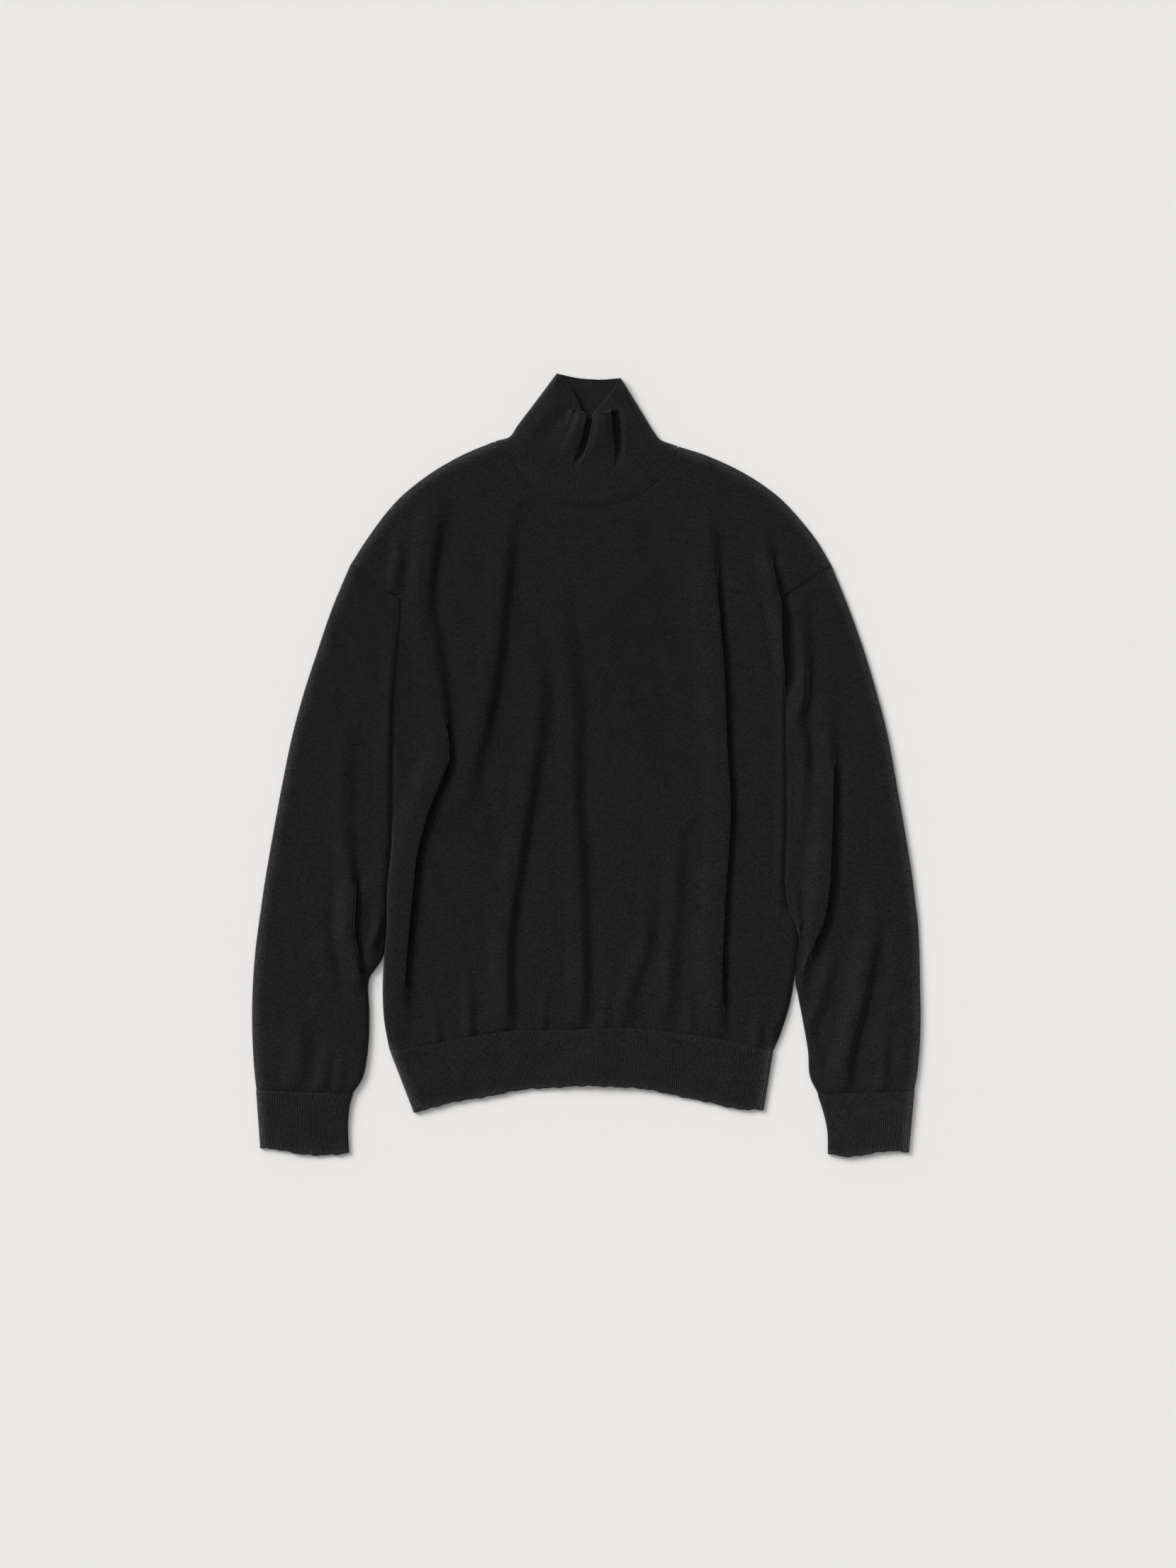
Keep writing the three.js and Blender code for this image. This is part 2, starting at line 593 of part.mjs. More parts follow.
// A tube pressed flat: plan gives a place for a share of its length and of its width, on the
// upper or the lower layer; top gives the upper layer's height, radius that of its side edges.
// Round the tube, 0 to 1 crosses the upper layer and 1 to 2 comes back under it
function flatTube(name, tube, material) {
  const width = (t) => {
    const a = tube.plan(t, 0, false);
    const b = tube.plan(t, 1, false);
    return Math.hypot(b[0] - a[0], b[1] - a[1]);
  };
  const place = (t, c) => {
    const turn = ((c % 2) + 2) % 2;
    const lower = turn > 1;
    const p = lower ? 2 - turn : turn;
    const radius = tube.radius(t);
    const w = width(t);
    const onEdge = p < EDGE_SHARE || p > 1 - EDGE_SHARE;
    const angle = onEdge ? (QUARTER_TURN * Math.min(p, 1 - p)) / EDGE_SHARE : QUARTER_TURN;
    const inset = ((1 - Math.cos(angle)) * radius) / w;
    let s = lerp(radius / w, 1 - radius / w, (p - EDGE_SHARE) / (1 - 2 * EDGE_SHARE));
    if (onEdge) s = p < 0.5 ? inset : 1 - inset;
    return { s, lower, radius, rise: Math.sin(angle), onEdge };
  };
  const point = (t, c) => {
    const { s, lower, radius, rise } = place(t, c);
    const [x, y] = tube.plan(t, s, lower);
    const z = lower ? radius * (1 - rise) : radius + rise * (tube.top(x, y, t, s) - radius);
    return new THREE.Vector3(x, y, z);
  };
  const d = 0.002;
  const widthwise = (t, s, lower) => {
    const a = tube.plan(t, Math.max(s - d, 0), lower);
    const b = tube.plan(t, Math.min(s + d, 1), lower);
    return new THREE.Vector2(b[0] - a[0], b[1] - a[1]).normalize();
  };
  // Square to the surface, but kept in the upright plane of its ring, so that a ring stays on its seam
  const normal = (t, c) => {
    const across = point(t, c + d).sub(point(t, c - d));
    const n = normalOf(across, point(Math.min(t + d, 1), c).sub(point(Math.max(t - d, 0), c)));
    const { s, lower, onEdge } = place(t, c);
    const along2 = widthwise(t, s, lower);
    if (onEdge) along2.add(widthwise(t, s, !lower)).normalize();
    const flat = new THREE.Vector2(n.x, n.y);
    const reach = flat.length() * Math.sign(flat.dot(along2));
    return new THREE.Vector3(along2.x * reach, along2.y * reach, n.z);
  };
  const ends = [0, EDGE_SHARE / 2, EDGE_SHARE];
  const mirror = (list) => list.map((p) => 1 - p).reverse();
  const spread = (count) => Array.from(
    { length: count },
    (_, i) => lerp(EDGE_SHARE, 1 - EDGE_SHARE, (i + 1) / (count + 1)),
  );
  const loop = (over, under) => [
    ...ends, ...over, ...mirror(ends), ...ends.slice(1).map((p) => 1 + p), ...under.map((p) => 1 + p),
    ...mirror(ends.slice(1)).map((p) => 1 + p),
  ];
  const upper = spread(tube.ribs ? 2 * tube.ribs - 1 : tube.columns.across);
  const lower = spread(tube.columns.below);
  const outerAt = loop(upper, lower);
  const innerAt = loop(spread(tube.columns.inside), lower);
  const ribAt = new Map(tube.ribs ? upper.map((c, i) => [c, i % 2 === 0 ? RIB_HEIGHT : 0]) : []);
  const body = new Body();
  const ring = (t, stations, inner) => stations.map((c) => {
    const p = point(t, c);
    const n = normal(t, c).multiplyScalar(-tube.sign);
    const out = inner ? CLOTH : -(ribAt.get(c) ?? 0) * smooth(t, 0, RIB_EASE);
    p.addScaledVector(n, out);
    if (!inner) p.z = Math.max(p.z, 0);
    return body.add(p.toArray());
  });
  const outerRows = tube.rows.map((t) => ring(t, outerAt, false));
  const innerRows = tube.innerRows.map((t) => ring(t, innerAt, true));
  const flip = tube.sign < 0;
  body.skin(outerRows, true, flip);
  body.skin(innerRows, true, !flip);
  body.band(outerRows[0], outerAt, innerRows[0], innerAt, flip);
  body.band(outerRows.at(-1), outerAt, innerRows.at(-1), innerAt, !flip);
  addMesh(name, body.geometry(), material);
}

// Sleeves: sections from the armhole seam to the cuff seam; toInner is 1 where the body lies right
function sleeve(name, rows, folds, armhole, toInner) {
  const left = along(rows.map((row) => (toInner > 0 ? row.outer : row.inner)));
  const right = along(rows.map((row) => (toInner > 0 ? row.inner : row.outer)));
  const clear = 1.6 * SEAM_INSET;
  const head = (s) => armhole(toInner > 0 ? 1 - s : s);
  const placed = folds.map((fold) => ({ ...fold, at: xAt(fold.line) }));
  flatTube(name, {
    plan: (t, s, lower) => {
      const across = mix2(left(t), right(t), s);
      const straight = mix2(left(0), right(0), s);
      const seam = lower ? mix2(head(0), head(1), s) : head(s);
      const near = 1 - smooth(t, 0, SLEEVE_HEAD / SLEEVE_LENGTH);
      return [
        across[0] + (seam[0] - straight[0] - clear * toInner) * near,
        across[1] + (seam[1] - straight[1] - clear) * near,
      ];
    },
    top: (x, y, t) => {
      const near = round(t * SLEEVE_LENGTH, SEAM_RISE) * round((1 - t) * SLEEVE_LENGTH, SEAM_RISE);
      return SEAM_TOP + near * (SLEEVE_TOP - SEAM_TOP + foldsHeight(placed, x, y));
    },
    radius: (t) => {
      const within = smooth(t, 0, SLEEVE_END) * (1 - smooth(t, 1 - SLEEVE_END, 1));
      return lerp(SEAM_RADIUS, SLEEVE_RADIUS, within);
    },
    rows: SLEEVE_ROWS,
    innerRows: SLEEVE_INNER_ROWS,
    columns: SLEEVE_COLUMNS,
    sign: -1,
  }, jersey);
}

// Ribbed bands: two layers, ribs raised on the upper one
function ribBand(name, seam, edge, left, right, ribs, columns) {
  const surface = patch(seam, edge, left, right);
  flatTube(name, {
    plan: (t, s) => surface(s, t),
    top: () => SEAM_TOP,
    radius: () => SEAM_RADIUS,
    rows: BAND_ROWS,
    innerRows: BAND_ROWS,
    ribs,
    columns,
    sign: -1,
  }, ribbing);
}

function straight(a, b) {
  return (t) => mix2(a, b, t);
}

function hemBand() {
  const seam = moved(hemSeam, 0, -SEAM_INSET);
  const edge = along(HEM_EDGE);
  const left = straight(seam(0), edge(0));
  const right = straight(seam(1), edge(1));
  ribBand('hem_band', seam, edge, left, right, HEM_RIBS, HEM_COLUMNS);
}

function cuff(name, seamPoints, edgePoints, leftSide, rightSide) {
  const seam = moved(straight(...seamPoints), 0, -SEAM_GAP);
  const edge = along(edgePoints);
  ribBand(name, seam, edge, leftSide(seam, edge), rightSide(seam, edge), CUFF_RIBS, CUFF_COLUMNS);
}

// Collar: seam to mouth, the upper layer from the neckline to the front edge of the mouth,
// the lower layer from the back neck to its back edge
function collar() {
  const frontSeam = offSeam(neckline, NECK_CENTRE, -SEAM_INSET);
  const backSeam = moved(backNeck, 0, SEAM_INSET);
  const left = along(COLLAR_LEFT);
  const right = along(COLLAR_RIGHT);
  const shift = (side, at) => (t) => {
    const [x, y] = side(t);
    const near = 1 - smooth(t, 0, COLLAR_SIDE_EASE);
    return [x + (at[0] - side(0)[0]) * near, y + (at[1] - side(0)[1]) * near];
  };
  const sides = [shift(left, frontSeam(0)), shift(right, frontSeam(1))];
  const backLine = (t) => mix2(mix2(frontSeam(0), frontSeam(1), t), backSeam(t), 4 * t * (1 - t));
  const upper = patch(frontSeam, along(MOUTH_FRONT), ...sides);
  const lower = patch(backLine, along(MOUTH_BACK), ...sides);
  const lines = COLLAR_LINES.map((line) => ({ ...line, at: xAt(line.line) }));
  const top = (x, y, t) => {
    const strength = smooth(y, PLEAT_FOOT, PLEAT_TOP);
    const heightOf = (line) => lerp(COLLAR_TOP, line.height, strength);
    const places = lines.map((line) => line.at(y));
    let height;
    if (x <= places[0]) {
      const edge = left(t)[0];
      height = lerp(COLLAR_EDGE, heightOf(lines[0]), smooth(x, edge, Math.max(places[0], edge + 1)));
    } else if (x >= places.at(-1)) {
      const edge = right(t)[0];
      const past = smooth(x, Math.min(places.at(-1), edge - 1), edge);
      height = lerp(heightOf(lines.at(-1)), COLLAR_EDGE, past);
    } else {
      let i = 0;
      while (places[i + 1] < x) i += 1;
      height = lerp(heightOf(lines[i]), heightOf(lines[i + 1]), smooth(x, places[i], places[i + 1]));
    }
    const lip = LIP.start + Math.max(x - LIP.from, 0) * LIP.slope;
    const started = smooth(x, LIP.from - LIP.ease[0], LIP.from);
    const ended = smooth(x, LIP.to, LIP.to + LIP.ease[1]);
    const behind = smooth(y, lip, lip + LIP.fall) * started * (1 - ended);
    height = lerp(height, Math.min(height, LIP.below), behind);
    const near = round(t * COLLAR_LENGTH, SEAM_RISE);
    return SEAM_TOP + near * (height - SEAM_TOP);
  };
  flatTube('collar', {
    plan: (t, s, isLower) => (isLower ? lower(s, t) : upper(s, t)),
    top,
    radius: () => SEAM_RADIUS,
    rows: COLLAR_ROWS,
    innerRows: COLLAR_INNER_ROWS,
    ribs: COLLAR_RIBS,
    columns: COLLAR_COLUMNS,
    sign: 1,
  }, ribbing);
}

frontPanel();
backPanel();
sleeve('sleeve_left', SLEEVE_LEFT_ROWS, LEFT_SLEEVE_FOLDS, armholeLeft, 1);
sleeve('sleeve_right', SLEEVE_RIGHT_ROWS, RIGHT_SLEEVE_FOLDS, armholeRight, -1);
cuff(
  'cuff_left',
  [SLEEVE_LEFT_ROWS.at(-1).outer, SLEEVE_LEFT_ROWS.at(-1).inner],
  CUFF_LEFT_EDGE,
  (seam, edge) => straight(seam(0), edge(0)),
  () => moved(along(CUFF_INNER_LEFT), 0, -SEAM_GAP),
);
cuff(
  'cuff_right',
  [SLEEVE_RIGHT_ROWS.at(-1).inner, SLEEVE_RIGHT_ROWS.at(-1).outer],
  CUFF_RIGHT_EDGE,
  () => moved(along(CUFF_INNER_RIGHT), 0, -SEAM_GAP),
  (seam, edge) => straight(seam(1), edge(1)),
);
hemBand();
collar();

// Centre of the plan at the origin, underside at zero
const box = new THREE.Box3().setFromObject(group);
const middle = box.getCenter(new THREE.Vector3());
group.position.set(-middle.x, -middle.y, -box.min.z);
group.updateMatrixWorld(true);

export default group;
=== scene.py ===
"""Turtleneck sweater laid flat: each knitted piece as a thin shell on its CAD solid's form."""

import math

import bpy
import numpy as np
from bpy.props import FloatProperty, FloatVectorProperty, IntProperty, PointerProperty
from bpy.types import Operator, Panel, PropertyGroup
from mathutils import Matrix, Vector
from mathutils.kdtree import KDTree


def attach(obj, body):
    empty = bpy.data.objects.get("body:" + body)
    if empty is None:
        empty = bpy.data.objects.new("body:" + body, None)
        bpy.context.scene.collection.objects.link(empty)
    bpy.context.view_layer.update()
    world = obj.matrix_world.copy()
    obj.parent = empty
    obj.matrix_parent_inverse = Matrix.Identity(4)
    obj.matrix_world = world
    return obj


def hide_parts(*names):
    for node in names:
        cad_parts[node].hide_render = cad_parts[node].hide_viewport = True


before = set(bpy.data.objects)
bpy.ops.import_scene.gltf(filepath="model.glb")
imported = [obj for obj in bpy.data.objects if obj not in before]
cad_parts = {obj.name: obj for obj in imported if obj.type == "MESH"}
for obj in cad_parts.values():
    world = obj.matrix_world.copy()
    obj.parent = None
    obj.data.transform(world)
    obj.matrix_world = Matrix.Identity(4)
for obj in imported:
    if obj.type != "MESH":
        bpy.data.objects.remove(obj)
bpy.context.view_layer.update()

bl_info = {
    "name": "Turtleneck Sweater",
    "version": (1, 0, 0),
    "blender": (4, 5, 0),
    "location": "3D View > Sidebar > Sweater",
    "description": "Builds a fine-knit turtleneck sweater laid flat, with ribs, folds and fuzz",
    "category": "Object",
}

# Every size in the tables below is in millimetres unless it says metres, and the meshes are made
# in metres
MM = 0.001

# The CAD sets the middle of the garment's box on the origin, which moves the cut by this much
CUT_ORIGIN = (0.2305, 0.8643)

# Heights of the layers
FRONT_FLOOR = 1.9
BACK_TOP = 1.6
SEAM_TOP = 5.7
BODY_TOP = 6.5
SLEEVE_TOP = 6.7
SLEEVE_SIDE_TOP = 3.8
COLLAR_TOP = 7.4
NECK_EDGE_TOP = 6
BAND_EDGE_TOP = 4.4
HOLLOW_TOP = 3

# How wide the cloth's edges and seams roll, rise or sink
SEAM_RISE = 9
SIDE_ROLL = 14
NECK_RISE = 16
BAND_ROLL = 6
HOLLOW_FLOOR = 5
RIM_RADIUS = 1.6
RIM_DROP = 1.1
SEAM_RADIUS = 2.3
SIDE_RADIUS = 1.8
BAND_RADIUS = 2.1
BAND_LIP = {"radius": 2, "drop": 0.7}
BACK_EDGE = {"radius": 0.8, "lift": 0.7}

# The linking stands in a narrow gap between neighbours. At a sleeve's head the gap closes in
# towards the tips of the seam
SEAM_INSET = 0.3
SEAM_GAP = 0.3
HEAD_CLEAR = 1.2 * SEAM_INSET
HEAD_TIP = 0.4

# Lengths along the pieces, and the shares of them where seams begin and end
SIDE_LENGTH = 500
BACK_WIDTH = 380
ARMHOLE_LENGTH = 57.5
UNDERARM_SHARE = 1 - ARMHOLE_LENGTH / SIDE_LENGTH
UNDERARM_FADE = (UNDERARM_SHARE - 0.03, UNDERARM_SHARE + 0.01)
NECK_SHARES = (0.3, 0.68)
NECK_FADE = 0.015
NECK_CENTRE = (0, 330)
SLEEVE_LENGTH = 510
SLEEVE_CLOTH = 115
HEAD_FADE = 60
HEM_LENGTH = 58
CUFF_LENGTH = 57
COLLAR_LENGTH = 70
COLLAR_CLOTH = 110
COLLAR_SIDE = 6
EDGE_SHARE = 0.04

# Each sleeve lies against the body's side down to where it parts from it, between two heights up
# the garment. The crevice between them, as (y, value): how wide the body's and the sleeve's edges
# roll, how deep the crevice is, and how far the sleeve's edge is hollow instead of round
CREVICES = {
    "left": {
        "parting": (-206, -176),
        "body": [(-275, 9), (-215, 6), (-190, 3.4), (163, 3.6)],
        "sleeve": [(-300, 8), (-215, 9), (-150, 8), (-60, 7), (140, 8)],
        "depth": [
            (-275, 1), (-164, 1), (-148, 0.6), (-138, 0.4), (-124, 0.9), (-100, 1), (108, 1),
            (124, 0.5), (138, 0.05), (163, 0),
        ],
        "hollow": [(-300, 0), (163, 0)],
    },
    "right": {
        "parting": (-222, -196),
        "body": [(-275, 9), (-215, 7), (-160, 7), (60, 8), (80, 3), (163, 3)],
        "sleeve": [
            (-300, 8), (-215, 6), (-185, 8), (-160, 7), (-140, 4), (60, 3), (76, 13), (90, 20),
            (120, 19), (163, 10),
        ],
        "depth": [
            (-275, 1), (-168, 1), (-154, 0.2), (-128, 0.2), (-108, 0.75), (60, 0.8), (80, 1),
            (163, 1),
        ],
        "hollow": [
            (-300, 0), (-215, 0), (-198, 1), (-160, 1), (-145, 0), (62, 0), (80, 1), (163, 1),
        ],
    },
}

# Beside the crevices the back panel reaches a little further out, so that no floor shows
SLOT_COVER = 0.45
COVER_START = 0.9

# Ribs of each band, one knit wale up and one down; those of a lower layer are pressed flatter
HEM_RIBS = 162
CUFF_RIBS = 38
COLLAR_RIBS = 84
RIB_PITCH = 2.2
RIB_ROUNDNESS = 0.6
PRESSED_RIB = 0.6
INSIDE_RIB_PITCH = 1.85
INSIDE_RIB_HEIGHT = 0.35

# Points of each mesh: rows along the piece, columns over and under a tube, and how far both are
# closer together at the ends; the inner faces are coarser
FRONT_GRID = {"rows": 305, "columns": 289, "dense": 0.4, "coarse": 8}
BACK_GRID = {"rows": 141, "columns": 121, "dense": 0.8}
SLEEVE_GRID = {"rows": 331, "over": 135, "under": 30, "dense": 0.5}
SLEEVE_LINING = {"rows": 60, "over": 26, "under": 12, "dense": 0.5}
BAND_GRID = {"rows": 22, "rib_steps": 6, "dense": 0.5}
BAND_LINING_ROWS = 6
COLLAR_GRID = {"rows": 100, "over": COLLAR_RIBS * 7 + 1, "under": 169, "dense": 0.2}
COLLAR_LINING = {"rows": 44, "over": 101, "under": 253, "dense": 0.3}
EDGE_COLUMNS = 7
LINING_EDGE_COLUMNS = 3

# Columns stand closer together near a fold, a groove or a side edge: how near, and how much closer
FINE_STEPS = 1400
NEAR_FOLD = (9, 2.2)
NEAR_GROOVE = (4, 9)

# Linking stitches of the seams: a cord that swells at each stitch and ends in a point
LINK_RADIUS = 0.4
LINK_TIP = 0.02
LINK_SWELL = 0.25
LINK_SIDES = 6
LINK_STEP = 0.5
LINK_PITCH = 2.2
LINK_SINK = 0.15

# Seams sink at both ends: to what height, how long the seam is and over what length it sinks, and
# the shares of it that the linking covers
HEM_LINKING = {"floor": FRONT_FLOOR, "length": 370, "roll": SEAM_RISE, "ends": (0.002, 0.998)}
ARMHOLE_LINKING = {"floor": 2.6, "length": 58, "roll": 5, "ends": (0.005, 0.995)}
CUFF_LINKING = {"floor": 2.4, "length": 92, "roll": BAND_ROLL, "ends": (0.01, 0.99)}
NECK_LINKING_ENDS = (0.03, 0.97)

# Loose fibres: each is rooted a little inside its edge, and its points lie along an arc. Turn and
# bend are spreads in radians about the outward way, LENGTHS shapes the spread of the lengths, and
# RISE is the middle and the spread of how steeply a fibre stands up
FIBRE_STEPS = 5
FIBRE_SIDES = 3
FIBRE_ROOT = 0.5
FIBRE_TURN = 0.75
FIBRE_BEND = 1.1
FIBRE_LENGTHS = (1.6, 3.2)
FIBRE_RISE = (0.05, 0.3)
FIBRE_TAPER = 0.6
FIBRE_FLOOR = 0.1
EDGE_STEP = 0.004

# Heights between which fibres grow from an open rim or a side
RIM_FIBRES, SIDE_FIBRES = (0.6, 4.2), (1.5, 4.5)

# Body outline: side from hem to underarm, armhole to shoulder tip, shoulder to neck
SIDE_LEFT = [
    (-189, -274), (-194, -246), (-195.5, -219), (-194.5, -190), (-191.5, -150), (-191.3, -120),
    (-189.5, -100), (-187.5, -80), (-186.3, -50), (-185.6, 0), (-184, 50), (-180.5, 100),
    (-178.3, 137), (-178, 163),
]
ARMHOLE_LEFT = [(-178, 163), (-190, 165.5), (-200, 174), (-210, 185.5), (-227, 191)]
SHOULDER_LEFT = [
    (-227, 191), (-211, 216), (-191, 243), (-178, 257), (-162, 270.5), (-142.5, 284), (-117, 298),
    (-88, 310),
]
NECKLINE = [
    (-88, 310), (-77, 300), (-67, 286), (-56, 271), (-38, 257), (-22, 250), (0, 247.5), (20, 248),
    (35, 252), (49, 258), (62, 268), (75, 280), (83, 294), (88, 305),
]
SHOULDER_RIGHT = [
    (88, 305), (111, 298), (143, 284), (166, 270.5), (184, 257), (198, 243), (220, 216), (235, 191),
]
ARMHOLE_RIGHT = [(187, 162), (203, 170), (219, 181), (235, 191)]
SIDE_RIGHT = [
    (179, -275), (185.5, -260), (195, -230), (199, -207), (202.3, -182), (203.5, -166), (199, -151),
    (192.5, -138), (190, -120), (190.5, -97), (192, -55), (191.5, 10), (191, 62), (190, 86),
    (187.5, 116), (187, 162),
]
HEM_SEAM = [
    (-189, -274), (-160, -270), (-117, -262), (-66, -255), (-20, -254.5), (26, -252.5), (67, -255),
    (127, -263), (179, -275),
]
HEM_EDGE = [
    (-166, -334), (-133, -326), (-92, -318), (-55, -312), (-29, -310), (10, -309), (38, -310),
    (78, -316), (117, -325), (142, -330), (170, -332),
]
BACK_NECK = [(-88, 310), (-50, 303), (0, 300), (50, 300.5), (88, 305)]

# Sleeves, a row for each section: outer edge, then inner edge
SLEEVE_LEFT_ROWS = [
    {"outer": (-227, 190.7), "inner": (-178.5, 162)},
    {"outer": (-245, 148), "inner": (-181, 134)},
    {"outer": (-259, 107), "inner": (-183.5, 101)},
    {"outer": (-272, 67), "inner": (-187, 60)},
    {"outer": (-283, 26), "inner": (-188.5, 17)},
    {"outer": (-291.5, -15), "inner": (-189, -20)},
    {"outer": (-301.5, -69), "inner": (-190.5, -70)},
    {"outer": (-308.5, -110), "inner": (-194, -109)},
    {"outer": (-314.5, -151), "inner": (-194, -151)},
    {"outer": (-318, -178), "inner": (-197, -178)},
    {"outer": (-320.5, -211), "inner": (-209, -208)},
    {"outer": (-321.3, -240), "inner": (-208.5, -238)},
    {"outer": (-320.5, -273), "inner": (-209.5, -270)},
    {"outer": (-318.5, -300), "inner": (-215, -301)},
    {"outer": (-317, -312), "inner": (-224.5, -316)},
]
SLEEVE_RIGHT_ROWS = [
    {"outer": (235, 190.7), "inner": (187.5, 161.5)},
    {"outer": (252.5, 148), "inner": (189.3, 135)},
    {"outer": (267, 107), "inner": (190.5, 100)},
    {"outer": (279, 67), "inner": (193.2, 60)},
    {"outer": (289.5, 26), "inner": (193.5, 17)},
    {"outer": (297, -15), "inner": (193.8, -20)},
    {"outer": (306.5, -69), "inner": (193.5, -70)},
    {"outer": (313, -110), "inner": (192, -108)},
    {"outer": (316, -135), "inner": (192.5, -134)},
    {"outer": (318, -151), "inner": (198, -150)},
    {"outer": (319.5, -178), "inner": (203.8, -177)},
    {"outer": (320.2, -211), "inner": (201.8, -212)},
    {"outer": (320.8, -242), "inner": (207, -243)},
    {"outer": (319.5, -276), "inner": (212.5, -275)},
    {"outer": (317, -300), "inner": (214.5, -300)},
    {"outer": (314.5, -313), "inner": (222, -316)},
]
CUFF_LEFT_EDGE = [
    (-313, -369), (-293, -370.5), (-269, -374.5), (-253, -375.5), (-238, -374.5), (-228.5, -372.5),
]
CUFF_RIGHT_EDGE = [(232, -374), (250, -376.7), (274, -373), (286, -371.5), (309, -372.5)]
CUFF_INNER_LEFT = [(-224.5, -316), (-227.5, -326), (-229.5, -346), (-228.5, -372.5)]
CUFF_INNER_RIGHT = [(222, -316), (228, -335), (231.5, -352), (232, -374)]

# Collar outline: side edges from seam to mouth, back edge and front edge of the mouth
COLLAR_LEFT = [(-88, 310), (-74, 314), (-66, 325), (-47, 350), (-28.3, 375.2)]
COLLAR_RIGHT = [(88, 305), (70.5, 311.5), (65, 318), (49, 344), (32.3, 371)]
MOUTH_BACK = [(-28.3, 375.2), (-9, 371), (1, 370), (17, 369.5), (32.3, 371)]
MOUTH_FRONT = [
    (-28.3, 375.2), (-17, 363), (-11.5, 354), (-6.5, 344.5), (-4.5, 338), (-1, 334.5), (2.5, 333),
    (6, 336), (11, 341.5), (22, 355), (29.5, 366), (32.3, 371),
]

# Folds: ridges that fall away on their right, away from the light. line gives the place of the fall
# as (y, x), rise the ridge's height as (y, height), width its left flank, crest the flat stretch
# before the fall, and roll how far the crest hangs over. Where a ridge with a groove is high, it
# falls into a deep narrow groove that runs out over this width
FRONT_FOLDS = [
    {"name": "armpit", "width": 17, "crest": 5, "roll": 0.4,
     "rise": [(155, 0), (176, 3), (196, 3.2), (210, 1.8), (230, 0)],
     "line": [(149, -172), (165, -176), (180, -177), (195, -174), (212, -173), (250, -160)]},
    {"name": "long", "width": 34, "crest": 11, "roll": 3, "groove": 10,
     "rise": [(-272, 0), (-247, 2.4), (-222, 4.4), (-197, 6), (-151, 6.6), (-49, 6.6), (0, 6.4),
              (28, 5.6), (53, 4.4), (115, 3.5), (178, 4.4), (228, 3.6), (262, 0)],
     "line": [(-270, -167), (-231, -170), (-191, -169.5), (-122, -163), (-87, -159), (-49, -149),
              (-14, -135), (5, -128), (39, -131), (86, -136), (120, -141), (156, -147), (182, -145),
              (241, -136), (285, -124)]},
    {"name": "upper", "width": 30, "crest": 8, "roll": 0.6,
     "rise": [(-62, 0), (-22, 2), (10, 3.6), (110, 4.2), (178, 3.9), (228, 2.1), (270, 0)],
     "line": [(-262, -116), (-216, -116), (-100, -116), (-30, -108), (4, -101), (55, -89),
              (116, -79), (182, -73), (227, -68), (275, -60)]},
    {"name": "slant", "width": 28, "crest": 8, "roll": 0.6,
     "rise": [(-276, 1), (-258, 2.4), (-233, 4.4), (-100, 4.4), (-8, 3.8), (67, 2.7), (92, 1.8),
              (125, 0)],
     "line": [(-253, -70.5), (-219, -71.5), (-185, -71.5), (-151, -69), (-117, -64), (-83, -59),
              (-49, -53.5), (-15, -48), (19, -42.5), (71, -36.5), (150, -36), (250, -38)]},
    {"name": "centre", "width": 26, "crest": 7, "roll": 0.6,
     "rise": [(-274, 0.5), (-255, 1.8), (-230, 4), (-180, 4.4), (-100, 3.8), (20, 3.8), (70, 2.9),
              (120, 2), (175, 0)],
     "line": [(-249, 1), (-185, 1.5), (-117, -1), (-49, -5), (19, -6), (69, -7), (96, -11),
              (146, -17), (250, -18)]},
    {"name": "small", "width": 20, "crest": 3, "roll": 0,
     "rise": [(-265, 0), (-235, 2.1), (-180, 2.4), (-140, 1.6), (-105, 0)],
     "line": [(-252, 41), (-219, 47), (-185, 58), (-151, 65), (0, 60), (120, 54), (250, 50)]},
    {"name": "small right", "width": 20, "crest": 3, "roll": 0,
     "rise": [(-262, 0), (-231, 2.2), (-150, 2.1), (-90, 1.5), (-45, 0)],
     "line": [(-252, 82.6), (-219, 84), (-185, 87.5), (-117, 91), (-40, 95)]},
    {"name": "sharp", "width": 30, "crest": 8, "roll": 3, "groove": 10,
     "rise": [(-272, 0.5), (-239, 4.4), (-214, 5.4), (-151, 5.6), (-100, 5.8), (-49, 6.4),
              (45, 6.6), (111, 6), (136, 5.4), (161, 5.6), (186, 4.6), (211, 3.3), (236, 1.8),
              (268, 0)],
     "line": [(-260, 133.5), (-185, 133.5), (-117, 137), (-49, 141), (-15, 140), (19, 137.5),
              (87, 135), (155, 129.5), (189, 127), (222, 125.5), (290, 121)]},
    {"name": "cap", "width": 18, "crest": 5, "roll": 1,
     "rise": [(40, 0), (74, 3.4), (88, 7.4), (120, 8.4), (168, 8), (190, 7), (204, 3), (226, 0)],
     "line": [(30, 198), (80, 198), (110, 196), (138, 192.5), (153, 188.5), (168, 184.2),
              (183, 180.7), (198, 178.5), (213, 177), (250, 170)]},
    {"name": "lower side", "width": 16, "crest": 4, "roll": 0,
     "rise": [(-150, 0), (-110, 1.6), (20, 1.4), (60, 0)],
     "line": [(-150, 190), (-100, 193), (0, 196), (60, 195)]},
]

